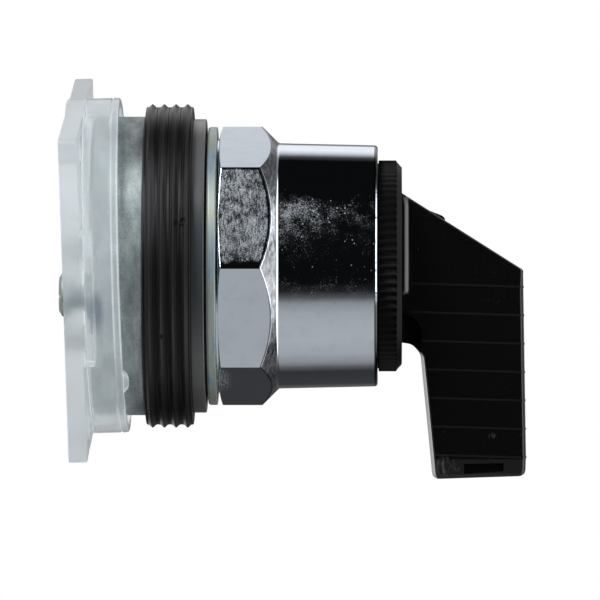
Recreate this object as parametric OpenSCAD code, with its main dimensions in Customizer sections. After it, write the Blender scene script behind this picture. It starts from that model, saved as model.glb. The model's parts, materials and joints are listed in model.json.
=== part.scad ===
// Rotary selector switch operator for a round panel hole.
// All sizes are in millimetres. +X points out of the panel along the switch axis and +Z is up.
// The origin is on the axis, at the front face of the flange where the rear gasket seats.

/* [Panel barrel and flange] */
// Outside diameter of the threaded barrel
barrel_d = 30; // [29:0.1:31]
// Outside diameter of the cast flange drum
drum_d = 40.9; // [39:0.1:42]
// Depth of the flange drum behind the gaskets
drum_t = 7.2; // [6.5:0.1:9]

/* [Gaskets and washers] */
// Outside diameter of a gasket, at the foot of its ridge
gasket_d = 43.5; // [41:0.1:45]
// Thickness of one gasket
gasket_t = 1.6; // [1.2:0.1:2]
// Height of the ridge around each gasket
gasket_ridge = 0.45; // [0.2:0.05:0.6]
// Outside diameter of the grey spacer ring
spacer_d = 40.2; // [37:0.1:42]
// Thickness of the spacer ring
spacer_t = 1.8; // [1:0.05:2.5]
// Outside diameter of the thin sealing washer, on the usual barrel
seal_d = 35.6; // [34:0.1:38]
// Thickness of the thin sealing washer
seal_t = 0.3; // [0.3:0.05:1]
// Outside diameter of the zinc trim washer, on the usual barrel
trim_d = 38.1; // [36:0.1:40]
// Thickness of the trim washer
trim_t = 1.2; // [0.8:0.05:2]

/* [Ring nut] */
// Distance across the flats of the octagon, on the usual barrel
nut_af = 35.3; // [34.6:0.1:36.5]
// Length of the octagon at its corners
nut_flat_len = 5.8; // [4:0.1:8]
// Diameter of the round bezel at its rear, on the usual barrel
bezel_d = 33.6; // [33:0.1:34.2]
// How much narrower the bezel is at its front
bezel_taper = 0.6; // [0:0.1:0.8]
// Length of the round bezel
bezel_len = 13.5; // [12:0.5:16]
// Turn of the octagon from corner up, in degrees
nut_turn = 1.2; // [-20:0.1:20]

/* [Knurled collar] */
// Diameter over the knurl
collar_d = 28.9; // [27:0.1:29.2]
// Length of collar that shows in front of the bezel
collar_show = 3.3; // [2.5:0.1:5]
// Number of teeth in the knurl
knurl_teeth = 78; // [60:1:96]
// Depth of the knurl
knurl_depth = 0.3; // [0.1:0.05:0.4]

/* [Lever] */
// Distance from the axis to the tip of the lever
lever_reach = 29.1; // [26:0.1:36]
// Depth of the lever in front of the collar
lever_depth = 16.9; // [14:0.1:20]
// Height of the lever's slope above the axis, at the collar
lever_top = 9.9; // [8:0.1:11]
// Width of the lever at the collar
lever_w = 11; // [10:0.1:13]
// Width of the lever at its front
lever_front_w = 9.4; // [8.5:0.1:10]
// Depth of the finger at its tip
finger_depth = 12.7; // [10:0.1:14]
// Height of each grip rib over the lever's sides
rib_rise = 0.18; // [0.1:0.02:0.3]

/* [Adaptor] */
// Length of the adaptor plate
plate_len = 57; // [54:0.5:60]
// Width of the adaptor plate
plate_w = 43.8; // [42:0.1:46]
// Thickness of the adaptor plate
plate_t = 2.5; // [2:0.1:3.5]
// Outside diameter of the adaptor's round cup
cup_d = 45.8; // [45:0.1:47]
// Depth of the cup in front of the plate
cup_depth = 4.8; // [4:0.1:6]
// Wall of the cup
cup_wall = 1.2; // [0.8:0.1:1.4]
// Turn of the screw line from level, in degrees
adaptor_turn = 13.5; // [0:0.5:30]
// Turn of the adaptor plate from level, in degrees
plate_turn = 10; // [0:0.5:30]
// Tip of the adaptor about its long middle line, in degrees
adaptor_rock = 1.5; // [0:0.1:1.6]
// Distance between the two adaptor screws
screw_span = 33.6; // [33.4:0.1:33.8]
// Distance between neighbouring contact-block holes
block_hole_span = 38; // [37:0.1:39]

/* [Turning parts] */
// Diameter of the spindle in its bush
spindle_d = 10; // [9:0.1:10.4]
// Diameter of the spindle's front stub
stub_d = 6.35; // [6:0.05:6.5]
// Angle between the two positions, in degrees
throw = 90; // [60:5:90]
// Travel of each push rod
lift = 2; // [1.2:0.1:2]

/* [Hidden] */
$fn = 96;
eps = 0.01;
far = 100;

// Clearances shared by every fit
fit_gap = 0.05;
ring_gap = 0.1;
run_gap = 0.04;
slide_gap = 0.08;

// Stations along the axis, from the flange forwards
barrel_r = barrel_d / 2;
usual_barrel_d = 30;
barrel_more = barrel_d - usual_barrel_d;
drum_r = drum_d / 2;
gasket_r = gasket_d / 2;
gasket_count = 4;
spacer_x = gasket_count * gasket_t;
seal_x = spacer_x + spacer_t;
seal_r = (seal_d + barrel_more) / 2;
trim_x = seal_x + seal_t;
trim_r = (trim_d + barrel_more) / 2;
nut_x = trim_x + trim_t;
nut_seat_t = 0.3;
nut_seat_r = barrel_r + 2.4;
octagon_x = nut_x + nut_seat_t;
nut_across = nut_af + barrel_more;
nut_corner_r = nut_across / 2 / cos(180 / 8);
bezel_r = (bezel_d + barrel_more) / 2;
bezel_front_r = bezel_r - bezel_taper / 2;
cone_x = octagon_x + nut_flat_len;
bezel_x = cone_x + nut_corner_r - bezel_r;
bezel_front_x = bezel_x + bezel_len;
bezel_edge = 0.5;
nut_bore_r = barrel_r + fit_gap;
nut_rear_edge = 0.45;

// Barrel and what runs inside it
barrel_front_x = bezel_front_x - 6.1;
spindle_r = spindle_d / 2;
stub_r = stub_d / 2;
bush_r = spindle_r + 2.5;
bush_front_gap = 3;
bush_rear_x = 8.5;
bush_front_x = barrel_front_x - bush_front_gap;
tube_r = bush_r + 2.2;
core_in_r = tube_r + 0.05;
core_out_r = barrel_r - 2.2;
core_rear_x = 13;
seal_ring_r = 1.3;
seal_ring_gap = 0.12;
seal_ring_seat = 0.1;
seal_pocket_r = spindle_r + 2.9;
seal_ring_mid_r = spindle_r + seal_ring_gap + seal_ring_r;
thrust_t = 0.7;
thrust_inset = 0.4;
thrust_r = tube_r - thrust_inset;
shoulder_x = barrel_front_x + thrust_t;
shoulder_t = 2;
shoulder_r = tube_r - 0.6;
collar_seat_x = shoulder_x + shoulder_t;

// Rear cavity
cavity_r = 14.5;
cavity_floor_x = -0.5;
detent_r = 11.5;

// Detent wheel and its band spring
wheel_front_x = 5.2;
wheel_t = 4.2;
wheel_rear_x = wheel_front_x - wheel_t;
wheel_r = 10.6;
notch_r = 1.65;
notch_mid_r = 11;
band_t = 0.4;
band_r = detent_r - ring_gap;
band_w = wheel_t - 0.6;
band_x = wheel_rear_x + 0.3;
bump_r = 1.5;
band_tab_w = 2;
band_tab_out = 1.1;
band_gap_w = 6;
detent_turn = 55;

// Cam, its stop lug and the push rods
cam_hub_r = 8;
cam_disc_t = 2;
cam_front_x = -0.6;
cam_face_x = cam_front_x - cam_disc_t;
cam_r = 12.4;
ramp_in_r = 7.3;
ramp_out_r = 10.8;
ramp_steps = 18;
ramp_dwell = 10;
rod_pitch_r = 9;
rod_r = 1.75;
rod_tip_r = 1.5;
rod_tip_len = 1;
rod_flange_r = 2.4;
rod_flange_t = 0.8;
rod_rest_gap = 0.06;
lug_w = 3.6;
lug_out_r = 13.9;
lug_turn = -40;
rib_in_r = 12.8;
rib_w = 3;
stop_gap = 0.15;
flat_half = spindle_r * 0.84;
clip_t = 0.6;
clip_groove_r = spindle_r - 0.8;
clip_r = spindle_r + 1.4;
clip_mouth = 5;
spindle_rear_x = cam_face_x - clip_t - 1.2;

// Adaptor
adaptor_x = -drum_t - 0.6;
boss_r = 3.2;
boss_x = adaptor_x + 0.1;
adaptor_rear_x = adaptor_x - plate_t;
cup_r = cup_d / 2;
screw_r = screw_span / 2;
screw_shank_r = 1.4;
screw_hole_r = 1.8;
screw_head_r = 3.1;
screw_head_t = 1.9;
screw_sink = 0.8;
screw_sink_r = 3.7;
screw_depth = 5;
screw_dome = 0.1;
screw_dome_in = 0.8;
screw_edge = 0.5;
screw_edge_in = 0.15;
screw_side = 0.9;
screw_slot_w = 0.9;
screw_slot_t = 0.75;
screw_run_out = 0.6;
plate_corner_r = 0.8;
pad_w = 17.8;
pad_t = 1.5;
guide_r = 3;
guide_len = min(1.2, drum_t - 6);
block_hole_r = 1.6;
rod_end_x = adaptor_rear_x + 0.15;
groove_w = 0.35;
groove_depth = 0.18;
groove_back = 0.85;
nub_r = 2.2;
nub_out = 0.75;
nub_turn = 225;

// Collar and lever
collar_r = collar_d / 2;
collar_front_x = bezel_front_x + collar_show;
collar_chamfer = 0.75;
collar_gap = 1;
collar_lift = 0.12;
skirt_len = 1.2;
skirt_r = nut_bore_r - collar_gap;
knurl_x = bezel_front_x + collar_lift;
collar_skirt_x = collar_seat_x - skirt_len;
collar_recess_r = shoulder_r + slide_gap * 5;
collar_step = 0.1;
knurl_front_x = collar_front_x - collar_chamfer;
stub_front_x = collar_front_x + 7.4;
stub_flat = stub_r * 0.75;
lever_front_x = collar_front_x + lever_depth;
slope_end_z = -0.6;
back_x = collar_front_x + 2.4;
tip_back_x = lever_front_x - finger_depth;
hub_low_z = -10.5;
core_half_w = 3.1;
scoop_r = 3.1;
scoop_z = -9.6;
tip_taper_h = 2.8;
tip_taper_in = 0.9;
foot_out = 0.8;
foot_low_z = -3.4;
rib_count = 7;
rib_first_z = -2.77;
rib_step = (lever_reach - 3.06 + rib_first_z) / (rib_count - 1);
rib_t = 0.34;
rib_lean = 1.8;
pip_x = 3.9;
pip_len = 2;
pip_rise = 0.42;
pip_w = 3;
pip_sunk = 0.3;
set_screw_r = 1.5;
set_screw_x = collar_front_x + 4.3;
set_screw_recess = 0.5;
inlay_w = 1.6;
inlay_t = 0.6;
inlay_from = 7.4;
inlay_to = 17.6;
slope_short = 0.4;
slope_turn = atan2(lever_top - slope_end_z, lever_depth - slope_short);

// Colours
zinc = [0.55, 0.58, 0.58];
steel = [0.7, 0.71, 0.72];
chrome = [0.82, 0.84, 0.87];
black = [0.05, 0.05, 0.05];
rubber = [0.12, 0.12, 0.13];
grey = [0.32, 0.34, 0.35];
milky = [0.85, 0.88, 0.9];
white = [0.93, 0.93, 0.9];
bronze = [0.68, 0.5, 0.28];
spring = [0.6, 0.62, 0.66];

// Stands a shape drawn along local Z on the switch axis, local X down.
module on_axis(x) {
    translate([x, 0, 0])
        rotate([0, 90, 0])
            children();
}

// Revolves a list of [radius, station] points about the switch axis.
module turned(points) {
    on_axis(0)
        rotate_extrude()
            polygon(points);
}

// A plain round bar on the axis between two stations.
module bar(x0, x1, r) {
    on_axis(x0)
        cylinder(h = x1 - x0, r = r);
}

// A flat ring on the axis.
module ring(x0, x1, r_out, r_in) {
    difference() {
        bar(x0, x1, r_out);
        bar(x0 - eps, x1 + eps, r_in);
    }
}

// Turns a shape about the axis, by the angle from +Y towards +Z.
module turned_by(angle) {
    rotate([angle, 0, 0])
        children();
}

// A box that lies along the radius at angle zero.
module radial_box(x0, x1, r0, r1, w, side = 0) {
    translate([x0, r0, side - w / 2])
        cube([x1 - x0, r1 - r0, w]);
}

// The two ends of the screw line.
module at_screws() {
    turned_by(adaptor_turn)
        for (end = [-1, 1])
            translate([0, end * screw_r, 0])
                children();
}

// The places of the push rods, square to the screw line.
module at_rod(end) {
    turned_by(adaptor_turn)
        translate([0, 0, end * rod_pitch_r])
            children();
}

// A shaft with two flats, and the hole that takes it.
module flatted(x0, x1, r, half) {
    intersection() {
        bar(x0, x1, r);
        translate([x0 - eps, -far, -half])
            cube([x1 - x0 + 2 * eps, 2 * far, 2 * half]);
    }
}

// A stub with one flat on the +Y side.
module stub_shape(x0, x1, r, flat) {
    intersection() {
        bar(x0, x1, r);
        translate([x0 - eps, -far, -far])
            cube([x1 - x0 + 2 * eps, far + flat, 2 * far]);
    }
}

module operator_body() {
    color(zinc)
        difference() {
            union() {
                turned([[0, -drum_t], [drum_r - 0.5, -drum_t], [drum_r, -drum_t + 0.5],
                    [drum_r, -0.2], [drum_r - 0.2, 0], [barrel_r, 0],
                    [barrel_r, barrel_front_x - 0.6], [barrel_r - 0.6, barrel_front_x],
                    [0, barrel_front_x]]);
                at_screws()
                    bar(boss_x, 0, boss_r);
            }
            difference() {
                bar(-drum_t - 1, cavity_floor_x, cavity_r);
                turned_by(lug_turn)
                    radial_box(-drum_t, cavity_floor_x + 1, rib_in_r, cavity_r + 1, rib_w,
                        -(lug_w + rib_w) / 2 - stop_gap);
                turned_by(lug_turn + throw)
                    radial_box(-drum_t, cavity_floor_x + 1, rib_in_r, cavity_r + 1, rib_w,
                        (lug_w + rib_w) / 2 + stop_gap);
            }
            bar(cavity_floor_x - eps, bush_rear_x, detent_r);
            turned_by(detent_turn + 90)
                radial_box(cavity_floor_x - eps, wheel_front_x, detent_r - 1,
                    band_r + band_tab_out + ring_gap, band_tab_w + 2 * ring_gap);
            bar(bush_rear_x - eps, bush_front_x + eps, bush_r + run_gap / 2);
            bar(bush_front_x, barrel_front_x + 1, seal_pocket_r);
            ring(core_rear_x, barrel_front_x + 1, core_out_r, core_in_r);
            at_screws()
                bar(boss_x - far, boss_x + screw_depth + screw_run_out, screw_shank_r + fit_gap);
        }
}

module gasket(i) {
    x = i * gasket_t;
    foot = gasket_t * 0.16;
    color(rubber)
        turned([[barrel_r + ring_gap, x], [gasket_r - 0.1, x], [gasket_r, x + 0.1],
            [gasket_r, x + foot], [gasket_r + gasket_ridge, x + gasket_t / 2],
            [gasket_r, x + gasket_t - foot], [gasket_r, x + gasket_t - 0.1],
            [gasket_r - 0.1, x + gasket_t], [barrel_r + ring_gap, x + gasket_t]]);
}

module gasket_1() {
    gasket(0);
}

module gasket_2() {
    gasket(1);
}

module gasket_3() {
    gasket(2);
}

module gasket_4() {
    gasket(3);
}

module spacer_ring() {
    r = spacer_d / 2;
    color(grey)
        turned([[barrel_r + ring_gap, spacer_x], [r - 0.12, spacer_x], [r, spacer_x + 0.12],
            [r, seal_x - 0.12], [r - 0.12, seal_x], [barrel_r + ring_gap, seal_x]]);
}

module sealing_washer() {
    color(rubber)
        ring(seal_x, trim_x, seal_r, barrel_r + ring_gap);
}

module trim_washer() {
    r = trim_r;
    roll = trim_t * 0.45;
    color(steel)
        turned([[barrel_r + ring_gap, trim_x], [r - roll, trim_x], [r - roll * 0.3, trim_x + roll * 0.25],
            [r, trim_x + roll], [r, nut_x], [barrel_r + ring_gap, nut_x]]);
}

module ring_nut() {
    color(chrome)
        difference() {
            union() {
                intersection() {
                    on_axis(nut_x)
                        rotate([0, 0, nut_turn])
                            cylinder(h = bezel_x - nut_x, r = nut_corner_r, $fn = 8);
                    turned([[0, nut_x], [nut_seat_r, nut_x], [nut_seat_r, octagon_x],
                        [nut_seat_r + 0.8, octagon_x],
                        [nut_corner_r + eps, octagon_x + nut_rear_edge],
                        [nut_corner_r + eps, cone_x], [bezel_r, bezel_x], [0, bezel_x]]);
                }
                turned([[0, nut_x], [nut_seat_r, nut_x], [nut_seat_r, bezel_x], [bezel_r, bezel_x],
                    [bezel_front_r, bezel_front_x - bezel_edge],
                    [bezel_front_r - bezel_edge * 0.3, bezel_front_x - bezel_edge * 0.3],
                    [bezel_front_r - bezel_edge, bezel_front_x], [0, bezel_front_x]]);
            }
            bar(nut_x - 1, bezel_front_x + 1, nut_bore_r);
        }
}

module spindle_bush() {
    color(bronze)
        ring(bush_rear_x, bush_front_x, bush_r, spindle_r + run_gap);
}

module shaft_seal() {
    color(rubber)
        on_axis(bush_front_x + seal_ring_r + seal_ring_seat)
            rotate_extrude()
                translate([seal_ring_mid_r, 0])
                    circle(r = seal_ring_r, $fn = 48);
}

module thrust_washer() {
    color(bronze)
        ring(barrel_front_x, shoulder_x, thrust_r, spindle_r + ring_gap);
}

// A flat shape moved out along the radius at an angle, in the plane that stands square to the axis.
module flat_at(angle, r) {
    rotate(angle + 90)
        translate([r, 0])
            children();
}

// A flat oblong that starts at the place's radius.
module flat_oblong(len, w) {
    translate([0, -w / 2])
        square([len, w]);
}

module detent_spring() {
    bumps = [detent_turn, detent_turn + 180];
    color(spring)
        on_axis(band_x)
            linear_extrude(height = band_w)
                difference() {
                    union() {
                        difference() {
                            circle(r = band_r);
                            circle(r = band_r - band_t);
                        }
                        flat_at(detent_turn + 90, band_r - band_t / 2)
                            flat_oblong(band_tab_out + band_t / 2, band_tab_w);
                        intersection() {
                            circle(r = band_r - band_t / 2);
                            for (turn = bumps)
                                flat_at(turn, notch_mid_r)
                                    circle(r = bump_r);
                        }
                    }
                    for (turn = bumps)
                        flat_at(turn, notch_mid_r)
                            circle(r = bump_r - band_t);
                    flat_at(detent_turn - 90, band_r - 2)
                        flat_oblong(3, band_gap_w);
                }
}

// The adaptor in its own plane: its front face is at zero and its plate is level.
module adaptor_shell() {
    rim = cup_depth;
    half_l = plate_len / 2;
    half_w = plate_w / 2;
    union() {
        translate([-plate_t, -half_l + plate_corner_r, -half_w])
            cube([plate_t, plate_len - 2 * plate_corner_r, plate_w]);
        translate([-plate_t, -half_l, -half_w + plate_corner_r])
            cube([plate_t, plate_len, plate_w - 2 * plate_corner_r]);
        for (y = [-1, 1], z = [-1, 1])
            translate([0, y * (half_l - plate_corner_r), z * (half_w - plate_corner_r)])
                bar(-plate_t, 0, plate_corner_r);
        difference() {
            turned([[0, -plate_t], [cup_r - 0.2, -plate_t], [cup_r, -plate_t + 0.2],
                [cup_r, rim - groove_back - groove_w],
                [cup_r - groove_depth, rim - groove_back - groove_w / 2],
                [cup_r, rim - groove_back], [cup_r, rim - 0.25], [cup_r - 0.25, rim],
                [0, rim]]);
            bar(0, rim + 1, cup_r - cup_wall);
        }
        intersection() {
            ring(0, rim + nub_out, cup_r, cup_r - cup_wall);
            for (side = [0, 180])
                turned_by(nub_turn - plate_turn + side)
                    translate([rim + nub_out - nub_r, 0, 0])
                        rotate([-90, 0, 0])
                            cylinder(h = far, r = nub_r);
        }
        difference() {
            for (end = [-1, 1])
                translate([-eps, end > 0 ? 0 : -half_l, -pad_w / 2])
                    cube([pad_t + eps, half_l, pad_w]);
            bar(-1, pad_t + 1, cup_r - cup_wall / 2);
        }
    }
}

module contact_adaptor() {
    color(milky)
        difference() {
            union() {
                turned_by(plate_turn)
                    translate([adaptor_x, 0, 0])
                        rotate([0, -adaptor_rock, 0])
                            difference() {
                                adaptor_shell();
                                for (y = [-1, 1], z = [-1, 1])
                                    translate([0, y * block_hole_span / 2, z * block_hole_span / 2])
                                        bar(-plate_t - 1, 1, block_hole_r);
                            }
                for (end = [-1, 1])
                    at_rod(end)
                        bar(adaptor_x - plate_t / 2, adaptor_x + guide_len, guide_r);
            }
            at_screws() {
                bar(adaptor_rear_x - 1, adaptor_x + 1, screw_hole_r);
                bar(adaptor_rear_x - 3, adaptor_rear_x + screw_sink, screw_sink_r);
            }
            for (end = [-1, 1])
                at_rod(end)
                    bar(adaptor_rear_x - 2, adaptor_x + guide_len + 1, rod_r + slide_gap);
        }
}

module adaptor_screws() {
    seat_x = adaptor_rear_x + screw_sink;
    top_x = seat_x - screw_head_t;
    color(steel)
        at_screws()
            difference() {
                union() {
                    turned([[0, top_x], [screw_head_r - screw_dome_in, top_x + screw_dome],
                        [screw_head_r - screw_edge_in, top_x + screw_edge],
                        [screw_head_r, seat_x - screw_side], [screw_head_r, seat_x], [0, seat_x]]);
                    bar(seat_x - eps, boss_x + screw_depth, screw_shank_r);
                }
                translate([top_x - screw_slot_t, -screw_head_r, -screw_slot_w / 2])
                    cube([2 * screw_slot_t, 2 * screw_head_r, screw_slot_w]);
            }
}

module spindle() {
    color(steel)
        difference() {
            union() {
                flatted(spindle_rear_x, wheel_front_x + fit_gap, spindle_r, flat_half);
                bar(wheel_front_x + fit_gap, shoulder_x + eps, spindle_r);
                bar(shoulder_x, collar_seat_x, shoulder_r);
                stub_shape(collar_seat_x - eps, stub_front_x, stub_r, stub_flat);
            }
            ring(cam_face_x - clip_t - fit_gap, cam_face_x, spindle_r + 1, clip_groove_r);
        }
}

module detent_wheel() {
    color(white)
        difference() {
            bar(wheel_rear_x, wheel_front_x, wheel_r);
            for (turn = [0, 180, -throw, 180 - throw])
                turned_by(detent_turn + turn)
                    translate([0, notch_mid_r, 0])
                        bar(wheel_rear_x - 1, wheel_front_x + 1, notch_r);
            flatted(wheel_rear_x - 1, wheel_front_x + 1, spindle_r + fit_gap, flat_half + fit_gap);
        }
}

// One helical ramp on the cam's rear face, rising from low to high between two angles.
module ramp(from, to, low, high) {
    lead = high > low ? 0 : ramp_dwell;
    trail = high > low ? ramp_dwell : 0;
    count = ramp_steps + 2;
    angles = [for (i = [0 : count]) i == 0 ? from + lead
        : i == count ? to - trail
        : from + (to - from) * (i - 1) / ramp_steps];
    rise = [for (i = [0 : count]) i == 0 ? low
        : i == count ? high
        : low + (high - low) * (i - 1) / ramp_steps];
    points = [for (i = [0 : count]) for (corner = [0 : 3])
        let (r = corner == 0 || corner == 3 ? ramp_in_r : ramp_out_r,
            x = corner < 2 ? cam_face_x + 0.4 : cam_face_x - max(rise[i], eps))
        [x, r * cos(angles[i]), r * sin(angles[i])]];
    sides = [for (i = [0 : count - 1]) for (c = [0 : 3])
        for (half = [0, 1])
            let (a = 4 * i + c, b = 4 * i + (c + 1) % 4)
            half == 0 ? [a, b, b + 4] : [a, b + 4, a + 4]];
    ends = [[3, 2, 1], [3, 1, 0], [4 * count, 4 * count + 1, 4 * count + 2],
        [4 * count, 4 * count + 2, 4 * count + 3]];
    polyhedron(points, concat(sides, ends), convexity = 6);
}

module actuating_cam() {
    upper = adaptor_turn + 90;
    lower = adaptor_turn + 270;
    color(white)
        difference() {
            union() {
                bar(cam_face_x, cam_front_x, cam_r);
                bar(cam_front_x - eps, wheel_rear_x, cam_hub_r);
                turned_by(lug_turn)
                    radial_box(cam_face_x, cam_front_x, cam_r - 2, lug_out_r, lug_w);
                ramp(upper, upper - throw, 0, lift);
                ramp(lower, lower - throw, lift, 0);
            }
            flatted(cam_face_x - 1, wheel_rear_x + 1, spindle_r + fit_gap, flat_half + fit_gap);
        }
}

module retaining_clip() {
    x0 = cam_face_x - clip_t;
    color(spring)
        difference() {
            ring(x0, cam_face_x - fit_gap, clip_r, clip_groove_r + fit_gap);
            translate([x0 - 1, 0, -clip_mouth / 2])
                cube([clip_t + 2, clip_r + 1, clip_mouth]);
        }
}

module knurled_collar() {
    root = collar_r - knurl_depth;
    face_r = root - fit_gap;
    core_r = min(skirt_r, face_r) - fit_gap;
    knurl_mid_x = (knurl_x + knurl_front_x) / 2;
    star = [for (i = [0 : 2 * knurl_teeth - 1])
        let (r = i % 2 == 0 ? collar_r : root, a = i * 180 / knurl_teeth)
        [r * cos(a), r * sin(a)]];
    color(black)
        difference() {
            union() {
                on_axis(knurl_x)
                    linear_extrude(height = knurl_front_x - knurl_x)
                        polygon(star);
                turned([[0, collar_skirt_x], [skirt_r, collar_skirt_x], [skirt_r, knurl_x],
                    [core_r, knurl_x], [core_r, knurl_mid_x], [face_r, knurl_mid_x],
                    [face_r, knurl_front_x + collar_step],
                    [face_r - collar_chamfer, collar_front_x], [0, collar_front_x]]);
            }
            bar(collar_skirt_x - far, collar_seat_x, collar_recess_r);
            stub_shape(collar_seat_x - far, collar_front_x + far, stub_r + fit_gap,
                stub_flat + fit_gap);
        }
}

// The side outline of the lever, grown at its front edge for the grip ribs.
module lever_outline(grow) {
    polygon([[collar_front_x, lever_top], [lever_front_x - slope_short, slope_end_z],
        [lever_front_x - slope_short / 2 + grow, slope_end_z - 0.7], [lever_front_x + grow, -lever_reach + 3],
        [lever_front_x - 0.1 + grow, -lever_reach + 0.7], [lever_front_x - 0.5, -lever_reach + 0.3],
        [tip_back_x + 0.45, -lever_reach], [tip_back_x, -lever_reach + 1],
        [back_x, hub_low_z - 0.9], [back_x - 0.5, hub_low_z - 0.3], [back_x - 1.2, hub_low_z],
        [collar_front_x, hub_low_z]]);
}

// The lever's solid block: its side, top and front outlines crossed. It flares where it meets the collar.
module lever_block(grow) {
    half = lever_w / 2 + grow;
    half_front = lever_front_w / 2 + grow;
    half_foot = half - (half - half_front) * foot_out / lever_depth;
    intersection() {
        translate([0, far / 2, 0])
            rotate([90, 0, 0])
                linear_extrude(height = far)
                    lever_outline(grow);
        translate([0, 0, -far / 2])
            linear_extrude(height = far)
                polygon([[collar_front_x, -half - foot_out], [collar_front_x + foot_out, -half_foot],
                    [lever_front_x + grow, -half_front], [lever_front_x + grow, half_front],
                    [collar_front_x + foot_out, half_foot], [collar_front_x, half + foot_out]]);
        rotate([90, 0, 90])
            linear_extrude(height = far)
                polygon([[-half - foot_out, lever_top + 1], [-half - foot_out, foot_low_z],
                    [-half, foot_low_z - foot_out], [-half, -lever_reach + tip_taper_h],
                    [-half + tip_taper_in, -lever_reach - 1], [half - tip_taper_in, -lever_reach - 1],
                    [half, -lever_reach + tip_taper_h], [half, foot_low_z - foot_out],
                    [half + foot_out, foot_low_z], [half + foot_out, lever_top + 1]]);
    }
}

// A frame with its X axis down the lever's slope, from the collar's face.
module on_slope() {
    translate([collar_front_x, 0, lever_top])
        rotate([0, slope_turn, 0])
            children();
}

module lever_handle() {
    color(black)
        difference() {
            union() {
                difference() {
                    lever_block(0);
                    for (side = [-1, 1])
                        translate([collar_front_x - 0.3, side * core_half_w, scoop_z])
                            rotate([side > 0 ? -90 : 90, 0, 0])
                                cylinder(h = far, r = scoop_r);
                    for (side = [-1, 1])
                        translate([collar_front_x - 1, side > 0 ? core_half_w : -core_half_w - far,
                            -lever_reach])
                            cube([back_x - collar_front_x + 0.2, far, lever_reach + scoop_z]);
                }
                for (i = [0 : rib_count - 1])
                    intersection() {
                        lever_block(rib_rise);
                        translate([lever_front_x - lever_depth / 2, -far / 2, rib_first_z - i * rib_step])
                            rotate([0, rib_lean, 0])
                                translate([-lever_depth / 2 + (i < 2 ? foot_out + 0.2 : 3.2), 0, -rib_t / 2])
                                    cube([far, far, rib_t]);
                    }
                on_slope()
                    translate([pip_x, pip_w / 2, 0])
                        rotate([90, 0, 0])
                            linear_extrude(height = pip_w)
                                polygon([[0, -pip_sunk], [0, 0], [pip_len - 0.3, pip_rise],
                                    [pip_len, pip_rise], [pip_len, -pip_sunk]]);
            }
            stub_shape(collar_front_x - 1, stub_front_x + 0.2, stub_r + fit_gap, stub_flat + fit_gap);
            translate([set_screw_x, 0, 0])
                rotate([-90, 0, 0])
                    cylinder(h = lever_w, r = set_screw_r + fit_gap);
            on_slope()
                translate([inlay_from - fit_gap, -inlay_w / 2 - fit_gap, -inlay_t - fit_gap])
                    cube([inlay_to - inlay_from + 2 * fit_gap, inlay_w + 2 * fit_gap, inlay_t + 1]);
        }
}

module pointer_inlay() {
    color(white)
        on_slope()
            translate([inlay_from, -inlay_w / 2, -inlay_t])
                cube([inlay_to - inlay_from, inlay_w, inlay_t]);
}

module lever_set_screw() {
    side = lever_w / 2 + (lever_front_w - lever_w) / 2 * (set_screw_x - collar_front_x) / lever_depth;
    color(steel)
        translate([set_screw_x, stub_flat + fit_gap, 0])
            rotate([-90, 0, 0])
                difference() {
                    cylinder(h = side - stub_flat - fit_gap - set_screw_recess, r = set_screw_r);
                    translate([0, 0, side - stub_flat - set_screw_recess - 1])
                        cylinder(h = 2, r = 0.85, $fn = 6);
                }
}

// A push rod, from its domed tip on the cam to its end in the adaptor plate.
module push_rod(end, out) {
    tip_x = cam_face_x - rod_rest_gap - out;
    flange_x = tip_x - rod_tip_len;
    end_x = rod_end_x + lift - out;
    color(white)
        at_rod(end)
            turned([[0, end_x], [rod_r - 0.3, end_x], [rod_r, end_x + 0.3],
                [rod_r, flange_x - rod_flange_t], [rod_flange_r, flange_x - rod_flange_t],
                [rod_flange_r, flange_x], [rod_tip_r, flange_x], [rod_tip_r * 0.9, tip_x - 0.45],
                [rod_tip_r * 0.55, tip_x - 0.12], [0, tip_x]]);
}

module push_rod_upper() {
    push_rod(1, 0);
}

module push_rod_lower() {
    push_rod(-1, lift);
}

operator_body();
gasket_1();
gasket_2();
gasket_3();
gasket_4();
spacer_ring();
sealing_washer();
trim_washer();
ring_nut();
spindle_bush();
shaft_seal();
thrust_washer();
detent_spring();
contact_adaptor();
adaptor_screws();
spindle();
detent_wheel();
actuating_cam();
retaining_clip();
knurled_collar();
lever_handle();
pointer_inlay();
lever_set_screw();
push_rod_upper();
push_rod_lower();
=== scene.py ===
# %% [markdown]
# A rotary selector switch for a round panel hole, seen from its side: the lever hangs down at the
# right, the panel fittings are in the middle and the adaptor for the contacts is at the left. The
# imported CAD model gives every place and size. This script dresses it: it makes finer pieces where a
# plain solid would look dull, gives every surface a finish, and lights it as in a small product studio.

import json
import math

import bmesh
import bpy
from mathutils import Matrix, Vector


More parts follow.
